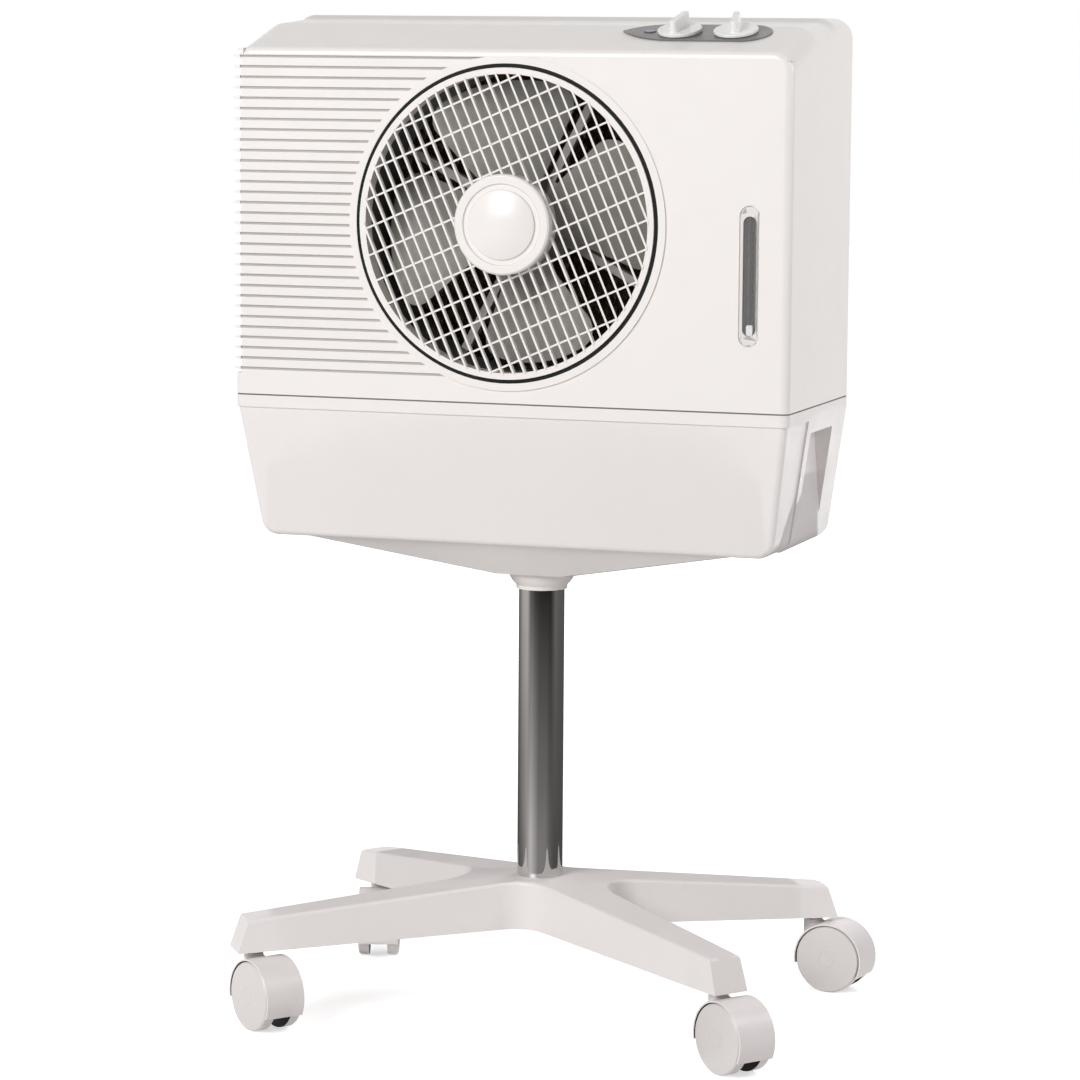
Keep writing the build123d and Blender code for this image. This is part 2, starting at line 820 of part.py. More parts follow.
with BuildPart() as fan_impeller:
    with BuildSketch(fan_plane(fan_front_y)):
        Circle(fan_hub_radius)
    extrude(amount=-fan_hub_length)
    chamfer(faces().sort_by(Axis.Y)[0].edges(), fan_hub_chamfer)
    for i in range(blade_count):
        add(fan_blade(first_blade + i * 360 / blade_count))
    with BuildSketch(fan_plane(fan_front_y)):
        Circle(shaft_radius + press_gap)
    extrude(amount=-fan_hub_length, mode=Mode.SUBTRACT)
write_node(fan_impeller, "fan_impeller")

with BuildPart() as fan_nut:
    with BuildSketch(fan_plane(fan_front_y)):
        RegularPolygon(nut_radius, 6)
    extrude(amount=nut_length)
    with BuildSketch(fan_plane(fan_front_y)):
        Circle(shaft_radius + press_gap)
    extrude(amount=shaft_ahead + seat_gap, mode=Mode.SUBTRACT)
write_node(fan_nut, "fan_nut")

# ---------------------------------------------------------------- level gauge
with BuildPart() as gauge_lens:
    with BuildSketch(facing_front(front_y)):
        with Locations((gauge_x, gauge_height)):
            SlotOverall(gauge_length, gauge_width, rotation=90)
    extrude(amount=-wall / 2)
    with BuildSketch(facing_front(front_y)):
        with Locations((gauge_x, gauge_height)):
            SlotOverall(window_length - seat_gap, window_width - seat_gap, rotation=90)
    extrude(amount=-wall)
write_node(gauge_lens, "gauge_lens")

channel_y = front_y + wall
rod_y = front_y + float_setback
arm_height = gauge_height - float_travel / 2
ear_heights = (arm_height - ear_drop, arm_height - ear_drop - ear_pitch)
with BuildPart() as gauge_body:
    with BuildSketch(facing_front(channel_y)):
        with Locations((gauge_x, gauge_height)):
            Rectangle(channel_width + 2 * channel_wall, channel_length + 2 * channel_wall)
    extrude(amount=-(gauge_channel_depth + channel_wall))
    with BuildSketch(facing_front(channel_y)):
        with Locations((gauge_x, gauge_height)):
            SlotOverall(channel_length, channel_width, rotation=90)
    extrude(amount=-gauge_channel_depth, mode=Mode.SUBTRACT)
    with BuildSketch(facing_front(channel_y)):
        with Locations((gauge_x, gauge_height)):
            SlotOverall(float_travel + clip_height + 2 * arm_width, arm_width + 2 * arm_room, rotation=90)
    extrude(amount=-(gauge_channel_depth + channel_wall + 1), mode=Mode.SUBTRACT)
    # strap with two eyes that guide the float's rod
    strap_high = gauge_height - channel_length / 2
    strap_low = ear_heights[-1] - ear_thickness
    with BuildSketch(facing_front(channel_y)):
        with Locations((gauge_x, (strap_high + strap_low) / 2)):
            Rectangle(ear_size, strap_high - strap_low)
    extrude(amount=-channel_wall)
    for z in ear_heights:
        with BuildSketch(Plane.XY.offset(z - ear_thickness / 2)):
            with Locations((gauge_x, (channel_y + rod_y + ear_size / 2) / 2)):
                Rectangle(ear_size, rod_y + ear_size / 2 - channel_y)
            with Locations((gauge_x, rod_y)):
                Circle(rod_radius + running_gap, mode=Mode.SUBTRACT)
        extrude(amount=ear_thickness)
write_node(gauge_body, "gauge_body")

float_low = tank_floor_height + wall + float_clearance
with BuildPart() as level_float:
    with BuildSketch(Plane.XY.offset(float_low)):
        with Locations((gauge_x, rod_y)):
            Circle(float_radius)
    extrude(amount=float_height)
    with BuildSketch(Plane.XY.offset(float_low)):
        with Locations((gauge_x, rod_y)):
            Circle(rod_radius)
    extrude(amount=arm_height + clip_height - float_low)
write_node(level_float, "level_float")

marker_y = channel_y + seat_gap
with BuildPart() as level_marker:
    with BuildSketch(facing_front(marker_y)):
        with Locations((gauge_x, arm_height)):
            RectangleRounded(marker_width, marker_height, marker_round)
    extrude(amount=-marker_depth)
    with BuildSketch(Plane.XY.offset(arm_height - clip_height / 2)):
        with Locations((gauge_x, (marker_y + 1 + rod_y) / 2)):
            Rectangle(arm_width, rod_y - marker_y - 1)
        with Locations((gauge_x, rod_y)):
            Circle(rod_radius + clip_wall)
            Circle(rod_radius + press_gap, mode=Mode.SUBTRACT)
    extrude(amount=clip_height)
write_node(level_marker, "level_marker")

# ---------------------------------------------------------------- controls on the slanted top
slope_wall = wall * cos(radians(slope))
knob_places = {"selector": (selector_x, selector_rest), "timer": (timer_x, timer_rest)}
with BuildPart() as control_panel:
    with BuildSketch(slope_plane):
        with BuildLine():
            low = panel_centre_run - panel_half_width
            high = panel_centre_run + panel_half_width
            left = panel_centre_x - panel_left
            right = panel_centre_x + panel_right
            tip = (left, panel_centre_run + panel_tip_rise)
            belly = panel_half_width * 1.7
            top_line = Line((left + belly, high), (right - belly * 0.5, high))
            right_arc = ThreePointArc(
                top_line @ 1, (right, panel_centre_run + panel_tip_rise), (right - belly * 0.7, low)
            )
            low_line = Line(right_arc @ 1, (left + belly * 1.3, low))
            TangentArc(low_line @ 1, tip, tangent=low_line % 1)
            TangentArc(top_line @ 0, tip, tangent=(top_line % 0) * -1)
        make_face()
        with Locations((selector_x, panel_centre_run), (timer_x, panel_centre_run)):
            Circle(spindle_radius + spindle_room, mode=Mode.SUBTRACT)
        with Locations((lamp_x, panel_centre_run)):
            Ellipse(lamp_length / 2 - lamp_lip, lamp_width / 2 - lamp_lip, mode=Mode.SUBTRACT)
    extrude(amount=panel_thickness)
write_node(control_panel, "control_panel")

with BuildPart() as pilot_lamp:
    with BuildSketch(slope_plane.offset(panel_thickness)):
        with Locations((lamp_x, panel_centre_run)):
            Ellipse(lamp_length / 2, lamp_width / 2)
    extrude(amount=lamp_rise)
    with BuildSketch(slope_plane.offset(panel_thickness)):
        with Locations((lamp_x, panel_centre_run)):
            lamp_inset = lamp_lip + rest_gap
            Ellipse(lamp_length / 2 - lamp_inset, lamp_width / 2 - lamp_inset)
    extrude(amount=-(panel_thickness + 2 * wall))
write_node(pilot_lamp, "pilot_lamp")

switch_top = -slope_wall - rest_gap
knob_base = panel_thickness + seat_gap
for name, (x, rest) in knob_places.items():
    with BuildPart() as knob:
        with BuildSketch(slope_plane.offset(knob_base)):
            with Locations((x, panel_centre_run)):
                Circle(knob_radius)
        extrude(amount=knob_skirt)
        with BuildSketch(slope_plane.offset(knob_base + knob_skirt)):
            with Locations((x, panel_centre_run)):
                SlotOverall(2 * (knob_radius - knob_grip_inset), knob_grip_width, rotation=rest)
        extrude(amount=knob_height - knob_skirt, taper=knob_draft)
        with BuildSketch(slope_plane.offset(knob_base)):
            with Locations((x, panel_centre_run)):
                Circle(spindle_radius)
        extrude(amount=switch_top - knob_base - spindle_depth)
    write_node(knob, f"{name}_knob")

    with BuildPart() as switch:
        with BuildSketch(slope_plane.offset(switch_top)):
            with Locations((x, panel_centre_run)):
                Rectangle(switch_size, switch_size)
        extrude(amount=-switch_depth)
        with BuildSketch(slope_plane.offset(switch_top)):
            with Locations((x, panel_centre_run)):
                Circle(spindle_radius + running_gap)
        extrude(amount=-(spindle_depth + 1), mode=Mode.SUBTRACT)
    write_node(switch, "selector_switch" if name == "selector" else "timer_mechanism")

# ---------------------------------------------------------------- tank
rim_low = seam_height - rim_band
tank_height = rim_low - tank_floor_height


def tank_side_x(z):
    """Half width of the tank at height z, below its rim."""
    return side_x - band_step - side_taper * (rim_low - z) / tank_height


def tank_form(inset):
    """Outside of the tank below its rim, or the space inside it when inset by the wall."""
    floor = tank_floor_height + inset
    half_top, half_floor = tank_side_x(rim_low) - inset, tank_side_x(floor) - inset
    front, back = front_y + band_step + inset, back_y - band_step - inset
    with BuildPart() as form:
        with BuildSketch(facing_front(front)) as outline:
            with BuildLine():
                Polyline(
                    (-half_top, rim_low), (-half_floor, floor),
                    (half_floor, floor), (half_top, rim_low), close=True,
                )
            make_face()
            fillet(outline.vertices().group_by(Axis.Y)[0], tank_corner - inset)
        extrude(amount=-(back - front))
        for y, lean in ((front, -front_taper), (back, rear_taper)):
            outward = -1 if lean < 0 else 1
            leaning = Plane(
                origin=(0, y, rim_low), x_dir=(1, 0, 0), z_dir=(0, outward * tank_height, -abs(lean))
            )
            split(bisect_by=leaning, keep=Keep.BOTTOM)
            walls = form.faces().filter_by(lambda f: abs(f.normal_at().dot(leaning.z_dir)) > 0.999)
            edges = walls.edges().filter_by(lambda e: e.center().Z < rim_low - 1)
            fillet(edges, tank_edge_round - inset)
    return form.part


def tank_side_pads():
    """Rear parts of the tank's sides, which stand out flush with its rim."""
    pads_front = front_y + side_pad_setback
    pads_back = back_y - rear_round
    with BuildPart() as pads:
        add(tank_form(-band_step))
        with BuildSketch(Plane.XY.offset(tank_floor_height)):
            for side in (-1, 1):
                with Locations((side * side_x, (pads_front + pads_back) / 2)):
                    Rectangle(2 * (side_taper + tank_corner), pads_back - pads_front)
        extrude(amount=tank_height, mode=Mode.INTERSECT)
    return pads.part


with BuildPart() as tank_outside:
    add(tank_form(0))
    add(tank_side_pads())


def grip_recess(side, margin):
    """Wedge of space for a hand in one side of the tank, or its shell when grown by margin."""
    deep = tank_side_x(grip_top) - grip_depth
    half = grip_width / 2 + margin
    with BuildPart() as recess:
        with BuildSketch(facing_front(grip_centre_y - half)):
            with BuildLine():
                Polyline(
                    (side * deep, grip_top),
                    (side * side_x, grip_top),
                    (side * side_x, grip_bottom),
                    (side * (tank_side_x(grip_bottom) + band_step), grip_bottom),
                    close=True,
                )
            make_face()
            if margin:
                offset(amount=margin, kind=Kind.INTERSECTION)
        extrude(amount=-2 * half)
    return recess.part


with BuildPart() as tank:
    add(tank_outside.part)
    with BuildSketch(Plane.XY.offset(rim_low)) as band:
        Rectangle(housing_width, housing_depth)
        fillet(band.vertices().group_by(Axis.Y)[0], front_round)
        fillet(band.vertices().group_by(Axis.Y)[-1], rear_round)
    extrude(amount=rim_band)
    with BuildSketch(Plane.XY.offset(seam_height)) as lip:
        Rectangle(housing_width - 2 * (wall + seat_gap), housing_depth - 2 * (wall + seat_gap))
        fillet(lip.vertices().group_by(Axis.Y)[0], front_round - wall)
        fillet(lip.vertices().group_by(Axis.Y)[-1], rear_round - wall)
    extrude(amount=lip_height)
    add(tank_form(wall), mode=Mode.SUBTRACT)
    mouth_edge = band_step + wall
    with BuildSketch(Plane.XY.offset(rim_low)) as mouth:
        Rectangle(housing_width - 2 * mouth_edge, housing_depth - 2 * mouth_edge)
        fillet(mouth.vertices(), mouth_round)
    extrude(amount=rim_band + lip_height, mode=Mode.SUBTRACT)
    for side in (-1, 1):
        add(grip_recess(side, wall).intersect(tank_outside.part))
    for side in (-1, 1):
        add(grip_recess(side, 0), mode=Mode.SUBTRACT)
    with BuildSketch(Plane.XY.offset(tank_floor_height)):
        with Locations((drain_x, drain_y)):
            Circle(drain_radius)
    extrude(amount=wall, mode=Mode.SUBTRACT)
write_node(tank, "tank")

with BuildPart() as drain_plug:
    with BuildSketch(Plane.XY.offset(tank_floor_height)):
        with Locations((drain_x, drain_y)):
            Circle(drain_cap_radius)
    extrude(amount=-drain_cap_thickness)
    with BuildSketch(Plane.XY.offset(tank_floor_height)):
        with Locations((drain_x, drain_y)):
            Circle(drain_radius - running_gap)
    extrude(amount=2 * wall)
write_node(drain_plug, "drain_plug")

# ---------------------------------------------------------------- pump, hose, distributor, pad
tank_floor_top = tank_floor_height + wall
pump_low = tank_floor_top + strainer_height
pump_x = tank_side_x(tank_floor_top) - tank_corner - pump_side_gap - pump_width / 2
pump_y = pad_y
spigot_x = pump_x + pump_width / 2 - spigot_inset
spigot_y = pad_y
with BuildPart() as pump_strainer:
    with BuildSketch(Plane.XY.offset(tank_floor_top)):
        with Locations((pump_x, pump_y)):
            Rectangle(pump_width, pump_depth)
            Rectangle(pump_width - 2 * strainer_wall, pump_depth - 2 * strainer_wall, mode=Mode.SUBTRACT)
    extrude(amount=strainer_height)
    with BuildSketch(Plane.XY.offset(tank_floor_top)):
        with Locations((pump_x, pump_y)):
            with GridLocations(2 * strainer_slot, 1, 5, 1):
                Rectangle(strainer_slot, pump_depth + 2)
    extrude(amount=strainer_height - strainer_wall, mode=Mode.SUBTRACT)
write_node(pump_strainer, "pump_strainer")

with BuildPart() as pump_body:
    with BuildSketch(Plane.XY.offset(pump_low)):
        with Locations((pump_x, pump_y)):
            RectangleRounded(pump_width, pump_depth, pump_corner)
    extrude(amount=pump_height)
    with BuildSketch(Plane.XY.offset(pump_low)):
        with Locations((pump_x, pump_y)):
            Circle(impeller_radius + impeller_room)
            Circle(impeller_pin_radius, mode=Mode.SUBTRACT)
    extrude(amount=impeller_height + 2 * impeller_room, mode=Mode.SUBTRACT)
    with BuildSketch(Plane.XY.offset(pump_low + pump_height)):
        with Locations((spigot_x, spigot_y)):
            Circle(spigot_radius)
            Circle(spigot_radius - spigot_wall, mode=Mode.SUBTRACT)
    extrude(amount=spigot_length)
write_node(pump_body, "pump_body")

with BuildPart() as pump_impeller:
    with BuildSketch(Plane.XY.offset(pump_low + impeller_room)):
        with Locations((pump_x, pump_y)):
            Circle(impeller_hub_radius)
            Rectangle(2 * impeller_radius, impeller_blade)
            Rectangle(impeller_blade, 2 * impeller_radius)
            Circle(impeller_pin_radius + running_gap, mode=Mode.SUBTRACT)
    extrude(amount=impeller_height)
write_node(pump_impeller, "pump_impeller")

hose_radius = spigot_radius + press_gap + hose_wall
distributor_radius = hose_radius + hose_gap + distributor_wall
distributor_z = pad_base + pad_height + pad_frame_wall + distributor_radius + rest_gap
hose_low = pump_low + pump_height + seat_gap
hose_end_x = pad_width / 2 - hose_lap
with BuildPart() as water_hose:
    with BuildLine() as route:
        riser = Line((spigot_x, spigot_y, hose_low), (spigot_x, spigot_y, distributor_z - hose_bend))
        bend = TangentArc(
            riser @ 1, (spigot_x - hose_bend, spigot_y, distributor_z), tangent=(0, 0, 1)
        )
        Line(bend @ 1, (hose_end_x, spigot_y, distributor_z))
    with BuildSketch(Plane(origin=riser @ 0, z_dir=(0, 0, 1))):
        Circle(hose_radius)
        Circle(spigot_radius + press_gap, mode=Mode.SUBTRACT)
    sweep()
write_node(water_hose, "water_hose")

with BuildPart() as water_distributor:
    with BuildSketch(Plane(origin=(-pad_width / 2, pad_y, distributor_z), z_dir=(1, 0, 0))):
        Circle(distributor_radius)
    extrude(amount=pad_width)
    closed_end = -pad_width / 2 + distributor_end
    with BuildSketch(Plane(origin=(closed_end, pad_y, distributor_z), z_dir=(1, 0, 0))):
        Circle(hose_radius + hose_gap)
    extrude(amount=pad_width, mode=Mode.SUBTRACT)
    with BuildSketch(Plane.XY.offset(distributor_z - distributor_radius - 1)):
        with Locations((0, pad_y)):
            with GridLocations(pad_width / 12, 1, 11, 1):
                Rectangle(5 * distributor_slot, distributor_slot)
    extrude(amount=distributor_radius, mode=Mode.SUBTRACT)
write_node(water_distributor, "water_distributor")

pad_middle_z = pad_base + pad_height / 2
frame_depth = pad_thickness + pad_frame_wall
with BuildPart() as pad_frame:
    with BuildSketch(facing_front(pad_y - frame_depth / 2)):
        with Locations((0, pad_middle_z)):
            Rectangle(pad_width + 2 * pad_frame_wall, pad_height + 2 * pad_frame_wall)
    extrude(amount=-frame_depth)
    with BuildSketch(facing_front(pad_y - pad_thickness / 2)):
        with Locations((0, pad_middle_z)):
            Rectangle(pad_width, pad_height)
    extrude(amount=-pad_thickness, mode=Mode.SUBTRACT)
    with BuildSketch(facing_front(pad_y - frame_depth / 2)):
        with Locations((0, pad_middle_z)):
            Rectangle(pad_width - 2 * pad_frame_lap, pad_height - 2 * pad_frame_lap)
    extrude(amount=-frame_depth, mode=Mode.SUBTRACT)
    # slots let water in at the top and out at the bottom
    with BuildSketch(Plane.XY.offset(pad_base - pad_frame_wall)):
        with Locations((0, pad_y)):
            with GridLocations(pad_width / 8, 1, 7, 1):
                Rectangle(pad_width / 12, pad_thickness / 3)
    extrude(amount=pad_height + 2 * pad_frame_wall, mode=Mode.SUBTRACT)
write_node(pad_frame, "pad_frame")

with BuildPart() as evaporative_pad:
    with BuildSketch(facing_front(pad_y - pad_thickness / 2 + pad_gap)):
        with Locations((0, pad_middle_z)):
            Rectangle(pad_width - 2 * pad_gap, pad_height - 2 * pad_gap)
    extrude(amount=-(pad_thickness - 2 * pad_gap))
write_node(evaporative_pad, "evaporative_pad")

# ---------------------------------------------------------------- rear panel
panel_width = rear_opening_width - 2 * seat_gap
panel_height = rear_opening_height - 2 * seat_gap
panel_front_y = pad_y + frame_depth / 2
slats_width = pad_width + 2 * pad_frame_wall - 2 * rear_sill
slats_height = pad_height + 2 * pad_frame_wall - 2 * rear_sill
with BuildPart() as rear_louvre_panel:
    with BuildSketch(facing_front(back_y - wall)):
        with Locations((0, rear_opening_z)):
            RectangleRounded(panel_width, panel_height, rear_opening_corner)
            with GridLocations(*panel_screw_span, 2, 2):
                Circle(screw_radius + seat_gap, mode=Mode.SUBTRACT)
    extrude(amount=-wall)
    with BuildSketch(facing_front(panel_front_y)):
        with Locations((0, rear_opening_z)):
            Rectangle(
                panel_width - 2 * rear_ledge - 2 * seat_gap,
                panel_height - 2 * rear_ledge - 2 * seat_gap,
            )
    extrude(amount=-(back_y - wall - panel_front_y))
    with BuildSketch(facing_front(panel_front_y)):
        with Locations((0, rear_opening_z)):
            Rectangle(slats_width, slats_height)
    extrude(amount=-(back_y - panel_front_y), mode=Mode.SUBTRACT)
    slat_step = slats_height / slat_count
    slat_y = back_y - slat_setback - slat_depth / 2 * cos(radians(slat_angle))
    for i in range(slat_count):
        z = rear_opening_z + (i - (slat_count - 1) / 2) * slat_step
        lean = (0, cos(radians(slat_angle)), -sin(radians(slat_angle)))
        with BuildSketch(Plane(origin=(-slats_width / 2 - 1, slat_y, z), x_dir=lean, z_dir=(1, 0, 0))):
            Rectangle(slat_depth, slat_thickness)
        extrude(amount=slats_width + 2)
write_node(rear_louvre_panel, "rear_louvre_panel")

with BuildPart() as panel_screws:
    with BuildSketch(facing_front(back_y)):
        with Locations((0, rear_opening_z)):
            with GridLocations(*panel_screw_span, 2, 2):
                Circle(screw_head_radius)
    extrude(amount=-screw_head)
    with BuildSketch(facing_front(back_y)):
        with Locations((0, rear_opening_z)):
            with GridLocations(*panel_screw_span, 2, 2):
                Circle(screw_radius - press_gap)
    extrude(amount=2 * wall)
write_node(panel_screws, "panel_screws")

# ---------------------------------------------------------------- stand: pan, column, base
collar_low = pan_low - collar_drop
with BuildPart() as support_pan:
    with BuildSketch(Plane.XY.offset(pan_low)):
        RectangleRounded(pan_neck, pan_neck, pan_corner)
    with BuildSketch(Plane.XY.offset(pan_top)):
        RectangleRounded(pan_length, pan_width, pan_corner)
    loft(ruled=True)
    with BuildSketch(Plane.XY.offset(pan_low + pan_wall)):
        Rectangle(pan_neck - 2 * pan_wall, pan_neck - 2 * pan_wall)
    with BuildSketch(Plane.XY.offset(pan_top)):
        Rectangle(pan_length - 4 * pan_wall, pan_width - 2 * pan_wall)
    loft(ruled=True, mode=Mode.SUBTRACT)
    with BuildSketch(Plane.XY.offset(pan_low + pan_wall)):
        Circle(column_radius + seat_wall)
    extrude(amount=column_top_grip - pan_wall)
    with BuildSketch(Plane.XZ):
        with BuildLine():
            Polyline((0, collar_low), (0, pan_low), (collar_radius, pan_low))
            flare = RadiusArc(
                (collar_radius, pan_low), (collar_foot_radius, collar_low + collar_foot), 1.4 * collar_drop
            )
            Polyline(flare @ 1, (collar_foot_radius, collar_low), (0, collar_low))
        make_face()
    revolve(axis=Axis.Z)
    with BuildSketch(Plane.XY.offset(collar_low)):
        Circle(column_radius + press_gap)
    extrude(amount=collar_drop + column_top_grip, mode=Mode.SUBTRACT)
write_node(support_pan, "support_pan")

with BuildPart() as column:
    with BuildSketch(Plane.XY.offset(column_low)):
        Circle(column_radius)
        Circle(column_radius - column_wall, mode=Mode.SUBTRACT)
    extrude(amount=column_high - column_low)
write_node(column, "column")

arm_angle = degrees(atan2(stem_span_y, stem_span_x))
arm_headings = [arm_angle, 180 - arm_angle, 180 + arm_angle, 360 - arm_angle]
roof_fall = (hub_top - arm_tip_high) / (arm_reach - arm_flat)
floor_fall = (base_floor - arm_tip_low) / (arm_reach - arm_flat)


def base_plan(height, inset):
    """Plan of the X at one height: four tapering arms blended into each other."""
    with BuildSketch(Plane.XY.offset(height)) as plan:
        for heading in arm_headings:
            u = Vector(cos(radians(heading)), sin(radians(heading)))
            v = Vector(-u.Y, u.X)
            root, tip, reach = arm_hub_width / 2 - inset, arm_tip_width / 2 - inset, arm_reach - inset
            with BuildLine():
                Polyline(v * root, u * reach + v * tip, u * reach - v * tip, v * -root, close=True)
            make_face()
        crotches = plan.vertices().sort_by_distance((0, 0, 0))[:4]
        fillet(crotches, arm_blend + inset)
    return plan.sketch


def base_form(inset):
    """Outside of the X base, or the hollow under it when inset by the wall."""
    low, high = arm_tip_low - arm_plan_drop - inset, hub_top - inset
    with BuildPart() as form:
        loft([base_plan(low, inset), base_plan(high, inset + (high - low) * tan(radians(arm_draft)))], ruled=True)
        for heading in arm_headings:
            u = Vector(cos(radians(heading)), sin(radians(heading)), 0)
            sloping = Plane(
                origin=u * arm_flat + Vector(0, 0, high), z_dir=u * roof_fall + Vector(0, 0, 1)
            )
            split(bisect_by=sloping, keep=Keep.BOTTOM)
            lean = atan2(arm_end_lean, arm_tip_high - arm_tip_low)
            end = Plane(
                origin=u * (arm_reach - inset) + Vector(0, 0, arm_tip_low),
                z_dir=u * cos(lean) + Vector(0, 0, sin(lean)),
            )
            split(bisect_by=end, keep=Keep.BOTTOM)
    return form.part


def base_underside():
    """Space under the base: flat below the hub, then falling along each arm."""
    with BuildPart() as space:
        with BuildSketch(Plane.XY):
            Rectangle(3 * arm_reach, 3 * arm_reach)
        extrude(amount=base_floor)
        for heading in arm_headings:
            u = Vector(cos(radians(heading)), sin(radians(heading)), 0)
            falling = Plane(
                origin=u * arm_flat + Vector(0, 0, base_floor), z_dir=u * floor_fall + Vector(0, 0, 1)
            )
            split(bisect_by=falling, keep=Keep.BOTTOM)
    return space.part


stem_places = {
    "fl": (-stem_span_x / 2, -stem_span_y / 2),
    "fr": (stem_span_x / 2, -stem_span_y / 2),
    "br": (stem_span_x / 2, stem_span_y / 2),
    "bl": (-stem_span_x / 2, stem_span_y / 2),
}
base_outside = base_form(0)
hub_boss = column_radius + seat_wall
tip_boss = socket_radius + socket_wall
with BuildPart() as base:
    add(base_outside)
    add(base_underside(), mode=Mode.SUBTRACT)
    tops = base.faces().filter_by(lambda f: f.normal_at().Z > 0.9)
    flanks = base.faces().filter_by(lambda f: abs(f.normal_at().Z) < 0.5)
    fillet([e for e in tops.edges() if e in flanks.edges()], arm_round)
    add(base_form(base_wall), mode=Mode.SUBTRACT)
    with BuildPart(mode=Mode.PRIVATE) as bosses:
        with BuildSketch(Plane.XY.offset(base_floor)):
            Circle(hub_boss)
        extrude(amount=hub_top - base_floor)
        with BuildSketch(Plane.XY.offset(arm_tip_low)):
            with Locations(*stem_places.values()):
                Circle(tip_boss)
        extrude(amount=hub_top - arm_tip_low)
        add(base_outside, mode=Mode.INTERSECT)
    add(bosses.part)
    with BuildSketch(Plane.XY.offset(column_low)):
        Circle(column_radius + press_gap)
    extrude(amount=hub_top - column_low, mode=Mode.SUBTRACT)
    with BuildSketch(Plane.XY.offset(base_floor)):
        Circle(bolt_radius + seat_gap)
    extrude(amount=base_wall, mode=Mode.SUBTRACT)
    with BuildSketch(Plane.XY.offset(arm_tip_low)):
        with Locations(*stem_places.values()):
            Circle(socket_radius + press_gap)
    extrude(amount=socket_length, mode=Mode.SUBTRACT)
write_node(base, "base")

with BuildPart() as column_plug:
    with BuildSketch(Plane.XY.offset(column_low)):
        Circle(column_radius - column_wall - press_gap)
        Circle(bolt_radius + press_gap, mode=Mode.SUBTRACT)
    extrude(amount=plug_height)
write_node(column_plug, "column_plug")

with BuildPart() as column_bolt:
    with BuildSketch(Plane.XY.offset(base_floor)):
        RegularPolygon(bolt_head_radius, 6)
    extrude(amount=-bolt_head)
    with BuildSketch(Plane.XY.offset(base_floor)):
        Circle(bolt_radius)
    extrude(amount=bolt_length - bolt_head)
write_node(column_bolt, "column_bolt")

# ---------------------------------------------------------------- casters
neck_top = arm_tip_low - stem_flange - seat_gap
stem_low = wheel_radius + stem_rise
stem_high = arm_tip_low + socket_length - stem_top_gap
with BuildPart() as caster_sockets:
    with BuildSketch(Plane.XY.offset(arm_tip_low)):
        with Locations(*stem_places.values()):
            Circle(socket_radius)
            Circle(stem_radius + press_gap, mode=Mode.SUBTRACT)
    extrude(amount=socket_length - rest_gap)
write_node(caster_sockets, "caster_sockets")

with BuildPart() as caster_stems:
    with BuildSketch(Plane.XY.offset(stem_low)):
        with Locations(*stem_places.values()):
            Circle(stem_radius)
    extrude(amount=stem_high - stem_low)
    with BuildSketch(Plane.XY.offset(arm_tip_low)):
        with Locations(*stem_places.values()):
            Circle(stem_flange_radius)
    extrude(amount=-stem_flange)
write_node(caster_stems, "caster_stems")

hood_inner = wheel_radius + hood_gap
hood_outer = hood_inner + hood_wall
wheel_gap = caster_width / 2 - wheel_width


def caster_side_plane(place, trail_angle, offset=0):
    """Upright plane through the axle: x is the trail, y is up, and the axle runs along its normal."""
    heading = Vector(cos(radians(trail_angle)), sin(radians(trail_angle)), 0)
    axle = Vector(heading.Y, -heading.X, 0)
    centre = Vector(*place, wheel_radius) + heading * caster_trail
    return Plane(origin=centre + axle * offset, x_dir=heading, z_dir=axle)


def caster_hood(place, trail_angle):
    """Hood over both wheels, with the web that holds the axle and the neck that holds the stem."""
    middle = caster_side_plane(place, trail_angle)
    with BuildPart() as hood:
        with BuildSketch(middle):
            Circle(hood_outer)
            with BuildLine():
                Polyline(
                    (2 * hood_outer, -hood_front_low),
                    (hood_outer - 4, -hood_front_low),
                    (hood_outer / 2, -hood_web_low),
                    (-hood_outer / 2, -hood_web_low),
                    (-hood_outer + 4, -hood_back_low),
                    (-2 * hood_outer, -hood_back_low),
                    (-2 * hood_outer, -2 * hood_outer),
                    (2 * hood_outer, -2 * hood_outer),
                    close=True,
                )
            make_face(mode=Mode.SUBTRACT)
        extrude(amount=caster_width / 2, both=True)
        with BuildSketch(Plane.XY.offset(wheel_radius)):
            with Locations(place):
                Circle(neck_radius)
        extrude(amount=neck_top - wheel_radius)
        joins = hood.edges().filter_by(lambda e: e.geom_type not in (GeomType.LINE, GeomType.CIRCLE))
        fillet(joins, neck_blend)
        for side in (-1, 1):
            with BuildSketch(caster_side_plane(place, trail_angle, side * hood_web / 2)):
                Circle(hood_inner)
            extrude(amount=side * caster_width, mode=Mode.SUBTRACT)
        with BuildSketch(middle):
            Circle(axle_radius + press_gap)
        extrude(amount=caster_width, both=True, mode=Mode.SUBTRACT)
        with BuildSketch(Plane.XY.offset(stem_low - 1)):
            with Locations(place):
                Circle(stem_radius + running_gap)
        extrude(amount=neck_top - stem_low + 1, mode=Mode.SUBTRACT)
    return hood


def caster_axle(place, trail_angle):
    """Steel pin that both wheels turn on."""
    with BuildPart() as axle:
        with BuildSketch(caster_side_plane(place, trail_angle)):
            Circle(axle_radius)
        extrude(amount=wheel_gap + wheel_bore_depth - 0.5, both=True)
    return axle


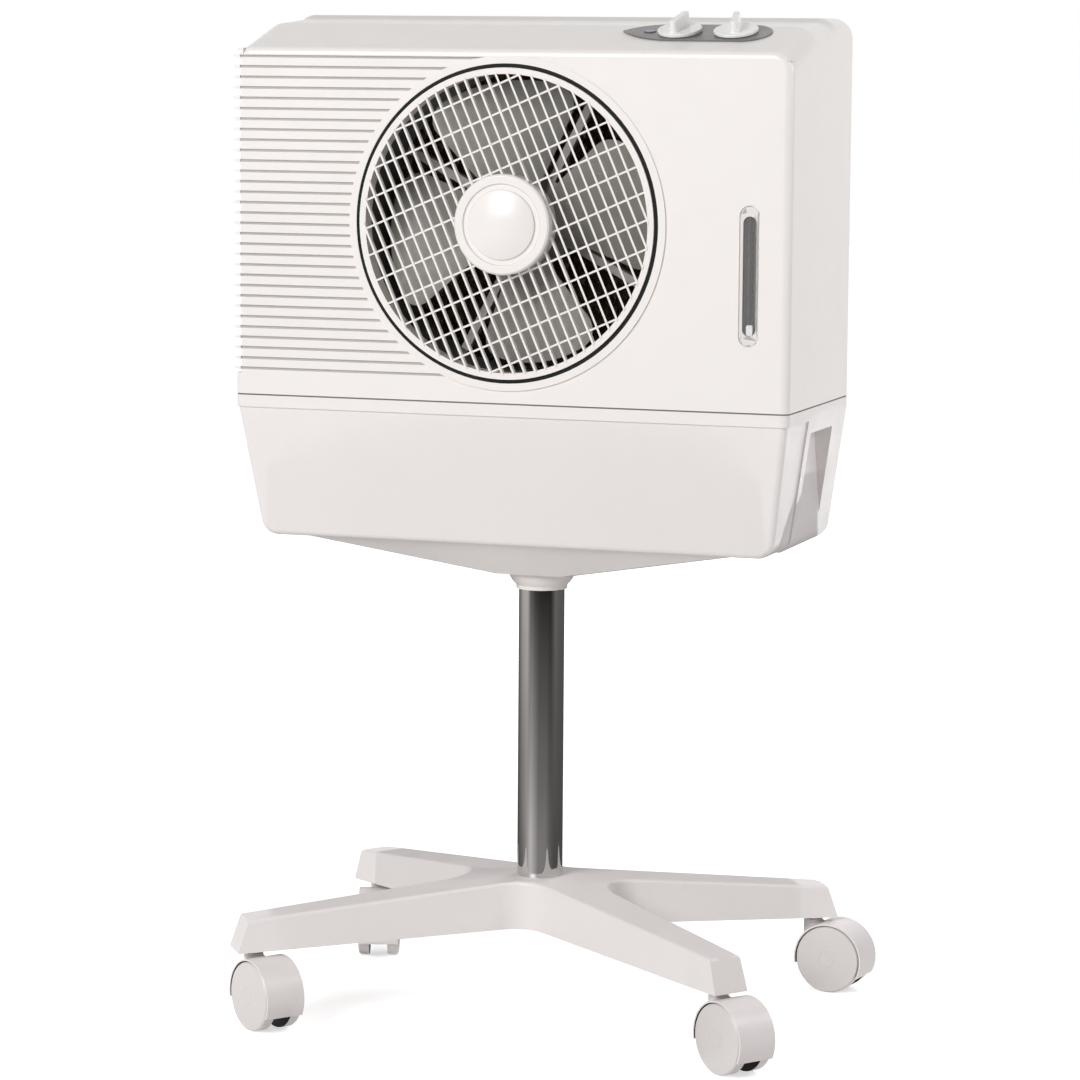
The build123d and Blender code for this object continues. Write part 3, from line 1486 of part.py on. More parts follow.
def caster_wheel(place, trail_angle, side):
    """One wheel, with a blind bore for the axle and a crowned outer face with a ring in it."""
    inner = caster_side_plane(place, trail_angle, side * wheel_gap)
    outward = inner.z_dir * side
    crown_edge = wheel_radius - wheel_chamfer
    crown = [(wheel_width + wheel_crown * (1 - s**2), crown_edge * s) for s in crown_steps]
    with BuildPart() as wheel:
        with BuildSketch(Plane(origin=inner.origin, x_dir=outward, z_dir=inner.x_dir)):
            with BuildLine():
                Polyline(
                    (crown[-1][0], 0),
                    (wheel_bore_depth, 0),
                    (wheel_bore_depth, axle_radius + running_gap),
                    (0, axle_radius + running_gap),
                    (0, wheel_radius),
                    (wheel_width - wheel_chamfer, wheel_radius),
                    *crown,
                    close=True,
                )
            make_face()
        revolve(axis=Axis(inner.origin, outward))
        ring_floor = wheel_gap + crown[-1][0] - wheel_ring_depth
        with BuildSketch(caster_side_plane(place, trail_angle, side * ring_floor)):
            Circle(wheel_ring_radius + wheel_ring_width / 2)
            Circle(wheel_ring_radius - wheel_ring_width / 2, mode=Mode.SUBTRACT)
        extrude(amount=side * wheel_crown, mode=Mode.SUBTRACT)
    return wheel


trails = {"fl": fl_trail, "fr": fr_trail, "br": br_trail, "bl": bl_trail}
for corner, place in stem_places.items():
    write_node(caster_hood(place, trails[corner]), f"caster_hood_{corner}")
    write_node(caster_axle(place, trails[corner]), f"caster_axle_{corner}")
    write_node(caster_wheel(place, trails[corner], 1), f"caster_wheel_{corner}_a")
    write_node(caster_wheel(place, trails[corner], -1), f"caster_wheel_{corner}_b")
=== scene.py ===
import json
from math import cos, pi, radians, sin, tan

import bmesh
import bpy
from mathutils import Matrix, Vector

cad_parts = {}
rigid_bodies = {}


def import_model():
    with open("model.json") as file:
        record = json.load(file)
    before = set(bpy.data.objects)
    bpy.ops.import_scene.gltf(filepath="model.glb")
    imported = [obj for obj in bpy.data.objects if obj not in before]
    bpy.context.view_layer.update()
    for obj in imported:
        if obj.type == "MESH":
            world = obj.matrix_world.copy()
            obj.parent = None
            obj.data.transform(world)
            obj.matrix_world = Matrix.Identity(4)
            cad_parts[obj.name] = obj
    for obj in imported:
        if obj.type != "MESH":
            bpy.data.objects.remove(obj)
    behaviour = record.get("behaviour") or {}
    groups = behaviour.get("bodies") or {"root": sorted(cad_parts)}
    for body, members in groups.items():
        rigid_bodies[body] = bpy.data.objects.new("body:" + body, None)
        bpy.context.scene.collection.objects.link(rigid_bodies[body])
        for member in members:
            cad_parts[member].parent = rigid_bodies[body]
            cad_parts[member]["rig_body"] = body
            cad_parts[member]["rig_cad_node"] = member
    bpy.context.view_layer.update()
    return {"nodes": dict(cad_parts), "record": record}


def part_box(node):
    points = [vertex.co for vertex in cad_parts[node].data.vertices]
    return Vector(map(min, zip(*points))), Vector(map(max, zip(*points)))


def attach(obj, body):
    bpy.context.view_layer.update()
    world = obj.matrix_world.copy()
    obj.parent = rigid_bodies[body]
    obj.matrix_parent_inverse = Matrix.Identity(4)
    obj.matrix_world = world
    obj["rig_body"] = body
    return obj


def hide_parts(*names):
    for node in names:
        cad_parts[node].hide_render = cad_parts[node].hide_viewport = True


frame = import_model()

# Looks of an evaporative cooler on a chrome pedestal with an X base and four casters.
# Metres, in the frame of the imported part: +Z up, the grille faces -Y, and +X is on the right of
# someone who stands before it.

nodes = frame["nodes"]
body_of = {node: body for body, names in frame["record"]["behaviour"]["bodies"].items() for node in names}
slot_of = {entry["node"]: entry["material_slot"] for entry in frame["record"]["subparts"]}


def box_of(node):
    """The lowest and the highest corner of a CAD node."""
    low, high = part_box(node)
    return Vector(low), Vector(high)


def middle_of(node):
    """The middle of a CAD node's box."""
    low, high = box_of(node)
    return (low + high) / 2


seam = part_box("front_casing")[0][2]       # height at which the casing stands on the tank
shell_middle = middle_of("tank")
caster_corners = ("fl", "fr", "br", "bl")

# radii that edges are rounded by
inlay_edge = 0.0002
hair_edge = 0.0003
vane_edge = 0.00035
ring_edge = 0.0004
trim_edge = 0.0005
shell_edge = 0.0006
moulded_edge = 0.0008
knob_edge = 0.0012
joint_edge = 0.0008           # bevel of the shells where the casing meets the tank
sharp_angle = radians(32)     # edges that turn by more than this are rounded and shaded sharp
same_way = 0.9                # cosine above which two directions count as the same


# ---------------------------------------------------------------- materials
def new_material(name):
    """A node material, its node tree and its Principled shader."""
    made = bpy.data.materials.new(name)
    made.use_nodes = True
    tree = made.node_tree
    return made, tree, tree.nodes["Principled BSDF"]


def object_coordinates(tree, scale=(1, 1, 1)):
    """Object coordinates in metres, stretched by scale."""
    where = tree.nodes.new("ShaderNodeTexCoord")
    mapping = tree.nodes.new("ShaderNodeMapping")
    mapping.inputs["Scale"].default_value = scale
    tree.links.new(where.outputs["Object"], mapping.inputs["Vector"])
    return mapping.outputs["Vector"]


def noise(tree, vector, scale, detail=3.0, roughness=0.5):
    """A noise pattern with that many features to a metre."""
    pattern = tree.nodes.new("ShaderNodeTexNoise")
    pattern.inputs["Scale"].default_value = scale
    pattern.inputs["Detail"].default_value = detail
    pattern.inputs["Roughness"].default_value = roughness
    tree.links.new(vector, pattern.inputs["Vector"])
    return pattern.outputs["Fac"]


def ranged(tree, value, low, high, from_low=0.3, from_high=0.7):
    """The value, spread from low to high."""
    spread = tree.nodes.new("ShaderNodeMapRange")
    spread.inputs["From Min"].default_value = from_low
    spread.inputs["From Max"].default_value = from_high
    spread.inputs["To Min"].default_value = low
    spread.inputs["To Max"].default_value = high
    tree.links.new(value, spread.inputs["Value"])
    return spread.outputs["Result"]


def mixed(tree, factor, first, second):
    """A colour between two, by the factor."""
    blend = tree.nodes.new("ShaderNodeMix")
    blend.data_type = "RGBA"
    for socket, colour in (("A", first), ("B", second)):
        inputs = [s for s in blend.inputs if s.name == socket and s.type == "RGBA"]
        if hasattr(colour, "links"):
            tree.links.new(colour, inputs[0])
        else:
            inputs[0].default_value = (*colour, 1)
    factors = [s for s in blend.inputs if s.name == "Factor" and s.type == "VALUE"]
    tree.links.new(factor, factors[0])
    return [s for s in blend.outputs if s.type == "RGBA"][0]


def bump(tree, shader, height, strength, distance):
    """Raise the surface by the height pattern."""
    relief = tree.nodes.new("ShaderNodeBump")
    relief.inputs["Strength"].default_value = strength
    relief.inputs["Distance"].default_value = distance
    tree.links.new(height, relief.inputs["Height"])
    tree.links.new(relief.outputs["Normal"], shader.inputs["Normal"])


def mottled(tree, shader, pattern, colour, other):
    """Colour a shader by a pattern that goes from one colour to the other."""
    tree.links.new(mixed(tree, ranged(tree, pattern, 0, 1), colour, other), shader.inputs["Base Color"])


def uneven_gloss(tree, shader, pattern, smoothest, dullest):
    """Let a shader's roughness follow a pattern."""
    tree.links.new(ranged(tree, pattern, smoothest, dullest), shader.inputs["Roughness"])


def darker(colour, share):
    """The same colour at a share of its brightness."""
    return [share * channel for channel in colour]


def moulded_plastic(name, colour, aged, roughness=0.34, grain=0.05, coat=0.0, shine=0.5):
    """Injection moulded plastic: faint mottling, a fine orange peel and uneven gloss."""
    made, tree, shader = new_material(name)
    where = object_coordinates(tree)
    mottling = noise(tree, where, 5.0)
    handling = noise(tree, where, 38.0, 4.0)
    orange_peel = noise(tree, where, 900.0, 2.0)
    mottled(tree, shader, mottling, colour, aged)
    uneven_gloss(tree, shader, handling, roughness - 0.05, roughness + 0.07)
    bump(tree, shader, orange_peel, grain, 0.0003)
    shader.inputs["Coat Weight"].default_value = coat
    shader.inputs["Coat Roughness"].default_value = 0.12
    shader.inputs["Specular IOR Level"].default_value = shine
    shader.inputs["IOR"].default_value = 1.5
    return made


def smoky_plastic(name, colour, deeper):
    """Translucent grey plastic of the fan's blades."""
    made, tree, shader = new_material(name)
    where = object_coordinates(tree)
    mottled(tree, shader, noise(tree, where, 9.0), colour, deeper)
    uneven_gloss(tree, shader, noise(tree, where, 60.0), 0.16, 0.28)
    bump(tree, shader, noise(tree, where, 500.0), 0.04, 0.0003)
    shader.inputs["Transmission Weight"].default_value = 0.18
    shader.inputs["IOR"].default_value = 1.49
    return made


def clear_plastic(name, tint, body):
    """Clear moulded lens: a thin film of its own colour, a strong gloss and faint ripples."""
    made, tree, shader = new_material(name)
    where = object_coordinates(tree)
    shader.inputs["Base Color"].default_value = (*tint, 1)
    shader.inputs["Alpha"].default_value = body
    shader.inputs["Specular IOR Level"].default_value = 1.0
    shader.inputs["IOR"].default_value = 1.6
    uneven_gloss(tree, shader, noise(tree, where, 120.0), 0.03, 0.1)
    bump(tree, shader, noise(tree, where, 90.0), 0.08, 0.0006)
    made.surface_render_method = "BLENDED"
    return made


def polished_chrome(name, colour):
    """Chrome plated tube: fine draw lines and long smears, both along it."""
    made, tree, shader = new_material(name)
    draw_lines = noise(tree, object_coordinates(tree, (1, 1, 0.02)), 240.0, 3.0)
    smears = noise(tree, object_coordinates(tree, (1, 1, 0.25)), 26.0, 4.0)
    shader.inputs["Metallic"].default_value = 1.0
    mottled(tree, shader, smears, colour, darker(colour, 0.82))
    uneven_gloss(tree, shader, smears, 0.03, 0.09)
    bump(tree, shader, draw_lines, 0.12, 0.0002)
    return made


def bare_metal(name, colour, roughness, grain=60.0):
    """Plated or cast metal with scattered dull patches."""
    made, tree, shader = new_material(name)
    where = object_coordinates(tree)
    patches = noise(tree, where, grain, 4.0)
    shader.inputs["Metallic"].default_value = 1.0
    mottled(tree, shader, patches, colour, darker(colour, 0.75))
    uneven_gloss(tree, shader, patches, roughness - 0.06, roughness + 0.1)
    bump(tree, shader, noise(tree, where, 700.0), 0.08, 0.0003)
    return made


def wet_cellulose(name, colour, soaked):
    """Stiff corrugated paper of the wet pad: fibres and darker damp patches."""
    made, tree, shader = new_material(name)
    damp = noise(tree, object_coordinates(tree), 14.0, 4.0)
    fibres = noise(tree, object_coordinates(tree, (1, 1, 6)), 700.0, 5.0, 0.7)
    mottled(tree, shader, damp, colour, soaked)
    uneven_gloss(tree, shader, damp, 0.6, 0.85)
    bump(tree, shader, fibres, 0.5, 0.0008)
    return made


finishes = {
    "casing": moulded_plastic("casing_white", (0.84, 0.80, 0.775), (0.825, 0.785, 0.76), 0.33, 0.05, 0.15),
    "tank": moulded_plastic("tank_white", (0.83, 0.785, 0.775), (0.81, 0.765, 0.755), 0.36, 0.05, 0.1),
    "knobs": moulded_plastic("knob_white", (0.86, 0.85, 0.84), (0.84, 0.83, 0.82), 0.28, 0.03, 0.2),
    "blades": smoky_plastic("blade_grey", (0.46, 0.44, 0.395), (0.30, 0.285, 0.26)),
    "duct": moulded_plastic("duct_grey", (0.05, 0.047, 0.045), (0.035, 0.033, 0.031), 0.4, 0.08, 0.0, 0.3),
    "black": moulded_plastic("black_plastic", [0.007] * 3, [0.011] * 3, 0.55, 0.06, 0.0, 0.12),
    "bracket": moulded_plastic("bracket_paint", (0.42, 0.40, 0.38), (0.36, 0.345, 0.33), 0.4, 0.1),
    "motor": bare_metal("motor_case", (0.32, 0.32, 0.33), 0.42, 40.0),
    "steel": bare_metal("zinc_steel", (0.62, 0.61, 0.6), 0.3, 120.0),
    "chrome": polished_chrome("column_chrome", (0.72, 0.705, 0.70)),
    "lens": clear_plastic("gauge_clear", (0.80, 0.78, 0.77), 0.09),
    "gauge": moulded_plastic("gauge_dark", (0.05, 0.045, 0.043), (0.02, 0.018, 0.017), 0.45, 0.08, 0.0, 0.3),
    "float": moulded_plastic("float_white", [0.78] * 3, [0.74] * 3, 0.4, 0.06),
    "marker": moulded_plastic("marker_white", (0.82, 0.81, 0.80), (0.78, 0.77, 0.76), 0.3, 0.03),
    "panel": moulded_plastic("panel_grey", (0.15, 0.138, 0.134), (0.13, 0.12, 0.116), 0.3, 0.1, 0.1),
    "lamp": moulded_plastic("lamp_purple", (0.16, 0.14, 0.22), (0.12, 0.1, 0.17), 0.16, 0.02, 0.4),
    "hose": moulded_plastic("hose_black", [0.03] * 3, [0.04] * 3, 0.55, 0.12),
    "pad": wet_cellulose("pad_paper", (0.34, 0.25, 0.14), (0.24, 0.17, 0.09)),
    "base": moulded_plastic("base_white", (0.83, 0.785, 0.775), (0.805, 0.76, 0.75), 0.4, 0.07, 0.05),
    "wheel": moulded_plastic("wheel_white", (0.73, 0.685, 0.675), (0.69, 0.65, 0.64), 0.36, 0.06, 0.05),
}

# painted shade on parts of a piece: darker grooves between the ribs and on the hub cap, a dark line in the
# joint between casing and tank, and the casters' dark insides
painted_groove_shade = moulded_plastic("painted_groove_shade", (0.60, 0.565, 0.55), (0.56, 0.53, 0.515), 0.5, 0.1, 0.0, 0.3)
painted_joint_shadow = moulded_plastic("painted_joint_shadow", (0.26, 0.24, 0.23), (0.20, 0.185, 0.18), 0.6, 0.1, 0.0, 0.2)
painted_caster_shade = moulded_plastic("painted_caster_shade", (0.012, 0.011, 0.011), (0.02, 0.018, 0.018), 0.5, 0.08, 0.0, 0.2)


# ---------------------------------------------------------------- making pieces
def deselect_all():
    """Leave nothing selected, the CAD nodes included."""
    for thing in list(bpy.context.selected_objects):
        thing.select_set(False)


def make_active(thing):
    """Select one object alone and make it the active one."""
    deselect_all()
    thing.select_set(True)
    bpy.context.view_layer.objects.active = thing


def apply_modifier(thing, kind, **settings):
    """Add a modifier, set it and apply it."""
    make_active(thing)
    added = thing.modifiers.new(kind.lower(), kind)
    for key, value in settings.items():
        setattr(added, key, value)
    bpy.ops.object.modifier_apply(modifier=added.name)


def stand_for(piece, node):
    """Let a finished piece stand for a CAD node, with its finish and on its body."""
    slot = slot_of[node]
    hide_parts(node)
    piece.data.materials.clear()
    piece.data.materials.append(finishes[slot])
    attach(piece, body_of[node])
    return piece


def merged_copy(node, name):
    """A copy of a CAD node's mesh with its triangles joined and its flat faces made whole."""
    make_active(nodes[node])
    bpy.ops.object.duplicate()
    piece = bpy.context.active_object
    piece.name = name
    piece.data.name = name
    piece.parent = None
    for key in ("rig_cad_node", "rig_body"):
        if key in piece:
            del piece[key]
    bpy.ops.object.mode_set(mode="EDIT")
    bpy.ops.mesh.select_all(action="SELECT")
    bpy.ops.mesh.remove_doubles(threshold=1e-6)
    bpy.ops.mesh.dissolve_limited(angle_limit=radians(0.5))
    bpy.ops.object.mode_set(mode="OBJECT")
    return piece


def paint_faces(piece, finish, chosen):
    """Give another material to the faces of which every corner is chosen; here it is always a painted shade.
    """
    piece.data.materials.append(finish)
    for face in piece.data.polygons:
        corners = [piece.data.vertices[corner].co for corner in face.vertices]
        if all(chosen(corner, face.normal) for corner in corners):
            face.material_index = len(piece.data.materials) - 1


def bevel_joint(piece):
    """Bevel the outer edges of a shell where the casing meets the tank."""
    level_within = 0.0005
    upright_below = 0.5
    make_active(piece)
    bpy.ops.object.mode_set(mode="EDIT")
    bpy.ops.mesh.select_mode(type="EDGE")
    bpy.ops.mesh.select_all(action="DESELECT")
    mesh = bmesh.from_edit_mesh(piece.data)
    for edge in mesh.edges:
        level = all(abs(corner.co.z - seam) < level_within for corner in edge.verts)
        if level and len(edge.link_faces) == 2:
            walls = [face for face in edge.link_faces if abs(face.normal.z) < upright_below]
            outward = (edge.verts[0].co + edge.verts[1].co) / 2 - shell_middle
            edge.select = len(walls) == 1 and walls[0].normal.xy.dot(outward.xy) > 0
    bmesh.update_edit_mesh(piece.data)
    bpy.ops.mesh.bevel(offset=joint_edge, segments=1, affect="EDGES")
    bpy.ops.object.mode_set(mode="OBJECT")


def dress(node, edge=0.0, segments=2, at_seam=False):
    """A smooth shaded copy of a CAD node, with its sharp edges rounded, that stands for the node."""
    piece = merged_copy(node, node + "_dressed")
    if at_seam:
        bevel_joint(piece)
    if edge:
        apply_modifier(
            piece, "BEVEL", width=edge, segments=segments, limit_method="ANGLE",
            angle_limit=sharp_angle, harden_normals=False, use_clamp_overlap=True,
        )
    make_active(piece)
    bpy.ops.object.shade_smooth_by_angle(angle=sharp_angle)
    apply_modifier(piece, "WEIGHTED_NORMAL", mode="FACE_AREA", weight=80, keep_sharp=True)
    return stand_for(piece, node)


# nodes whose own mesh stays, with a better finish
for node, thing in nodes.items():
    thing.data.materials.clear()
    thing.data.materials.append(finishes[slot_of[node]])

# ---------------------------------------------------------------- housing
rib_start = 0.0285            # middle of the lowest groove above the seam
rib_pitch = 0.01115
rib_top = 0.366               # the grooves end below this height above the seam
groove_reach = 0.0018         # half a groove's height, with its edges
joint_reach = 0.0014          # half the height of the joint's bevels
flank_slope = 0.4             # the grooves' flanks face up or down by at least this
joint_slopes = (0.3, 0.9)     # and the joint's bevels by this much


def in_rib_groove(corner, normal):
    """Whether a corner of a face lies in one of the grooves between the ribs."""
    above_seam = corner.z - seam
    from_groove = (above_seam - rib_start + rib_pitch / 2) % rib_pitch - rib_pitch / 2
    on_flank = abs(from_groove) < groove_reach and abs(normal.z) > flank_slope
    return on_flank and rib_pitch < above_seam < rib_top


def at_joint(corner, normal):
    """Whether a corner of a face is on the bevel between the casing and the tank."""
    return abs(corner.z - seam) < joint_reach and joint_slopes[0] < abs(normal.z) < joint_slopes[1]


for node in ("front_casing", "rear_casing"):
    casing = dress(node, shell_edge, at_seam=True)
    # the grooves between the ribs get painted shade, darker than the casing
    paint_faces(casing, painted_groove_shade, in_rib_groove)
    # the casing's bevel at the joint with the tank gets a painted shadow line
    paint_faces(casing, painted_joint_shadow, at_joint)
tank = dress("tank", moulded_edge, at_seam=True)
# the tank's bevel at the joint gets the same painted shadow line
paint_faces(tank, painted_joint_shadow, at_joint)
dress("support_pan", moulded_edge)
dress("bearing_ring", ring_edge)
dress("rear_louvre_panel", trim_edge)
dress("pad_frame", trim_edge)
dress("air_duct")
dress("cord_gland", hair_edge)

# ---------------------------------------------------------------- pad and the rear panel's screws
pad_low, pad_high = box_of("evaporative_pad")
flute_pitch = 0.016
flute_height = 0.0042         # the sheets wave to each side by this much
flute_steps = 8
flute_lean = radians(30)
sheet_pitch = 0.009           # about, before a whole number of sheets fills the pad's width
sheet_wall = 0.0006


def pad_sheet(place, lean):
    """One sheet of the pad, wavy as it goes up, whose flutes lean up or down from front to back."""
    depth = pad_high.y - pad_low.y
    rise = lean * depth * tan(flute_lean) / 2
    deselect_all()
    bpy.ops.mesh.primitive_plane_add(size=depth)
    sheet = bpy.context.active_object
    bpy.ops.object.mode_set(mode="EDIT")
    mesh = bmesh.from_edit_mesh(sheet.data)
    bmesh.ops.delete(mesh, geom=[corner for corner in mesh.verts if corner.co.x > 0], context="VERTS")
    for corner in mesh.verts:
        back_share = 2 * corner.co.y / depth
        corner.co = Vector((place, corner.co.y, pad_low.z - abs(rise) + rise * back_share))
    bmesh.update_edit_mesh(sheet.data)
    bpy.ops.mesh.select_all(action="SELECT")
    wave = [flute_height * sin(2 * pi * step / flute_steps) for step in range(flute_steps + 1)]
    for step in range(flute_steps):
        aside = (wave[step + 1] - wave[step], 0, flute_pitch / flute_steps)
        bpy.ops.mesh.extrude_region_move(TRANSFORM_OT_translate={"value": aside})
    bpy.ops.object.mode_set(mode="OBJECT")
    tall = pad_high.z - pad_low.z + 2 * abs(rise)
    apply_modifier(
        sheet, "ARRAY", count=int(tall / flute_pitch) + 2, use_relative_offset=False,
        use_constant_offset=True, constant_offset_displace=(0, 0, flute_pitch),
        use_merge_vertices=True, merge_threshold=0.00005,
    )
    bpy.ops.object.mode_set(mode="EDIT")
    for height, upward in ((pad_high.z, 1), (pad_low.z, -1)):
        bpy.ops.mesh.select_all(action="SELECT")
        bpy.ops.mesh.bisect(plane_co=(0, 0, height), plane_no=(0, 0, upward), clear_outer=True)
    bpy.ops.object.mode_set(mode="OBJECT")
    return sheet


sheet_room = pad_high.x - pad_low.x - 2 * flute_height - 2 * sheet_wall
sheet_pairs = int(sheet_room / sheet_pitch / 2)
sheet_pitch = sheet_room / (2 * sheet_pairs - 1)
first_sheet = pad_low.x + flute_height + sheet_wall
pair = [pad_sheet(first_sheet, 1), pad_sheet(first_sheet + sheet_pitch, -1)]
deselect_all()
for sheet in pair:
    sheet.select_set(True)
bpy.context.view_layer.objects.active = pair[0]
bpy.ops.object.join()
pad = bpy.context.active_object
pad.name = "pad_sheets"
apply_modifier(pad, "SOLIDIFY", thickness=sheet_wall, offset=0)
apply_modifier(
    pad, "ARRAY", count=sheet_pairs, use_relative_offset=False, use_constant_offset=True,
    constant_offset_displace=(2 * sheet_pitch, 0, 0),
)
bpy.ops.object.shade_smooth_by_angle(angle=radians(50))
pad.data.transform(Matrix.Translation((0, middle_of("evaporative_pad").y, 0)))
stand_for(pad, "evaporative_pad")


def cross_recess(place, across, deep, wide):
    """A cross to cut out of a screw's head: a small block drawn out on its four sides."""
    deselect_all()
    bpy.ops.mesh.primitive_cube_add(size=1, location=place)
    cross = bpy.context.active_object
    cross.scale = (wide, 2 * deep, wide)
    bpy.ops.object.transform_apply(location=True, rotation=False, scale=True)
    bpy.ops.object.mode_set(mode="EDIT")
    bpy.ops.mesh.select_mode(type="FACE")
    for x, z in ((1, 0), (-1, 0), (0, 1), (0, -1)):
        side = Vector((x, 0, z))
        bpy.ops.mesh.select_all(action="DESELECT")
        mesh = bmesh.from_edit_mesh(cross.data)
        for face in mesh.faces:
            outer = (face.calc_center_median() - Vector(place)).dot(side) > 0.4 * wide
            face.select = outer and face.normal.dot(side) > same_way
        bmesh.update_edit_mesh(cross.data)
        bpy.ops.mesh.extrude_region_move(TRANSFORM_OT_translate={"value": side * (across - wide) / 2})
    bpy.ops.object.mode_set(mode="OBJECT")
    return cross


screws_low, screws_high = box_of("panel_screws")
head_radius = 0.004
recess_across = 0.0046
recess_depth = 0.0014
recess_width = 0.001
screws = merged_copy("panel_screws", "panel_screws_dressed")
for x in (screws_low.x + head_radius, screws_high.x - head_radius):
    for z in (screws_low.z + head_radius, screws_high.z - head_radius):
        cross = cross_recess((x, screws_high.y, z), recess_across, recess_depth, recess_width)
        apply_modifier(screws, "BOOLEAN", object=cross, operation="DIFFERENCE", solver="EXACT")
        bpy.data.objects.remove(cross)
apply_modifier(screws, "BEVEL", width=hair_edge, segments=2, limit_method="ANGLE", angle_limit=radians(40))
make_active(screws)
bpy.ops.object.shade_smooth_by_angle(angle=sharp_angle)
stand_for(screws, "panel_screws")

# ---------------------------------------------------------------- fan and grille
dress("rotating_grille", vane_edge)
hub_cap = dress("grille_hub_cap", trim_edge)
cap_middle = middle_of("grille_hub_cap")
cap_groove_inner = 0.0365     # radii between which the cap's ring groove lies
cap_groove_outer = 0.0435


def in_cap_groove(corner, normal):
    """Whether a corner of a face lies in the ring groove on the hub cap's front."""
    from_axis = (corner - cap_middle).xz.length
    return cap_groove_inner < from_axis < cap_groove_outer and corner.y < cap_middle.y


# the ring groove on the hub cap gets painted shade
paint_faces(hub_cap, painted_groove_shade, in_cap_groove)
dress("fan_impeller", trim_edge)
dress("fan_nut", trim_edge)
dress("motor_bracket", shell_edge)
dress("fan_motor", moulded_edge)

# ---------------------------------------------------------------- gauge and controls
dress("gauge_lens", ring_edge)
dress("gauge_body", inlay_edge)
dress("level_marker", shell_edge)
dress("control_panel", trim_edge)
dress("pilot_lamp", trim_edge)
for node in ("selector_knob", "timer_knob"):
    dress(node, knob_edge, segments=3)

# ---------------------------------------------------------------- stand and casters
hood_inside = 0.0387          # just over the radius of the hood's inner wall


def inside_hood(axle_middle, along):
    """A test of whether a corner is inside the hood, on its wall or on the web between the wheels."""
    def chosen(corner, normal):
        from_axle = corner - axle_middle
        return (from_axle - from_axle.dot(along) * along).length < hood_inside
    return chosen


def turned_to(direction):
    """A test of whether a face looks in this direction."""
    def chosen(corner, normal):
        return normal.dot(direction) > same_way
    return chosen


dress("column", hair_edge)
dress("base", moulded_edge)
for place in caster_corners:
    hood = dress(f"caster_hood_{place}", shell_edge)
    dress(f"caster_axle_{place}")
    wheel_a, wheel_b = (middle_of(f"caster_wheel_{place}_{side}") for side in "ab")
    along = (wheel_b - wheel_a).normalized()
    # the inside of the hood and the web between the wheels get near black painted shade
    paint_faces(hood, painted_caster_shade, inside_hood((wheel_a + wheel_b) / 2, along))
    for side, inward in (("a", along), ("b", -along)):
        wheel = dress(f"caster_wheel_{place}_{side}", moulded_edge)
        # each wheel's face towards the other wheel gets near black painted shade
        paint_faces(wheel, painted_caster_shade, turned_to(inward))


# ---------------------------------------------------------------- floor and backdrop
def seen_itself(tree):
    """1 for camera, glossy and transmission rays, and 0 for light on its way to the object."""
    path = tree.nodes.new("ShaderNodeLightPath")
    seen = path.outputs["Is Camera Ray"]
    for kind in ("Is Glossy Ray", "Is Transmission Ray"):
        either = tree.nodes.new("ShaderNodeMath")
        either.operation = "MAXIMUM"
        tree.links.new(seen, either.inputs[0])
        tree.links.new(path.outputs[kind], either.inputs[1])
        seen = either.outputs["Value"]
    return seen


ambient = 0.25                        # level of the sky's light on the object
floor_size = 30.0
near_glow, far_glow = 0.62, 0.82      # the floor's own light, seen near the object and far from it
glow_from, glow_to = 0.8, 2.4         # distances between which it grows
deselect_all()
bpy.ops.mesh.primitive_plane_add(size=floor_size)
floor = bpy.context.active_object
floor.name = "floor"
floor_look, floor_tree, floor_shader = new_material("pale_floor")
floor_shader.inputs["Base Color"].default_value = (0.78, 0.775, 0.77, 1)
floor_shader.inputs["Roughness"].default_value = 0.9
floor_shader.inputs["Specular IOR Level"].default_value = 0.1
floor_shader.inputs["Emission Color"].default_value = (1, 1, 1, 1)
distance = floor_tree.nodes.new("ShaderNodeVectorMath")
distance.operation = "LENGTH"
floor_tree.links.new(object_coordinates(floor_tree), distance.inputs[0])
glow = floor_tree.nodes.new("ShaderNodeMath")
glow.operation = "MULTIPLY"
floor_tree.links.new(seen_itself(floor_tree), glow.inputs[0])
by_distance = ranged(floor_tree, distance.outputs["Value"], near_glow, far_glow, glow_from, glow_to)
floor_tree.links.new(by_distance, glow.inputs[1])
floor_tree.links.new(glow.outputs["Value"], floor_shader.inputs["Emission Strength"])
floor.data.materials.append(floor_look)

world = bpy.data.worlds.new("studio")
bpy.context.scene.world = world
world.use_nodes = True
sky = world.node_tree
backdrop = sky.nodes["Background"]
backdrop.inputs["Color"].default_value = (1, 1, 1, 1)
level = sky.nodes.new("ShaderNodeMapRange")
level.inputs["To Min"].default_value = ambient
level.inputs["To Max"].default_value = 1.0
sky.links.new(seen_itself(sky), level.inputs["Value"])
sky.links.new(level.outputs["Result"], backdrop.inputs["Strength"])


# ---------------------------------------------------------------- lamps
def soft_lamp(name, size, place, aim, power):
    """A square area lamp at place that looks at aim."""
    deselect_all()
    bpy.ops.object.light_add(type="AREA", location=place)
    lamp = bpy.context.active_object
    lamp.name = name
    lamp.data.size = size
    lamp.data.energy = power
    lamp.visible_camera = False
    lamp.rotation_euler = (Vector(aim) - Vector(place)).to_track_quat("-Z", "Y").to_euler()
    return lamp


object_middle = (0, 0, 0.7)
housing_side = (0.3, 0.05, 0.9)
soft_lamp("key", 2.6, (-1.7, -5.4, 3.3), object_middle, 270)
soft_lamp("side", 0.6, (1.5, 0.1, 1.3), housing_side, 7)
back_lamp = soft_lamp("back", 2.4, (0.8, 4.6, 2.6), object_middle, 110)
back_lamp.visible_glossy = False      # its gleam would wash out the top's edges

# ---------------------------------------------------------------- card that the chrome mirrors
camera_azimuth = radians(18.9)
card_radius = 0.3
card_height = 0.6
card_fade = (0.1, 0.44)               # heights between which the low greys turn into the high ones
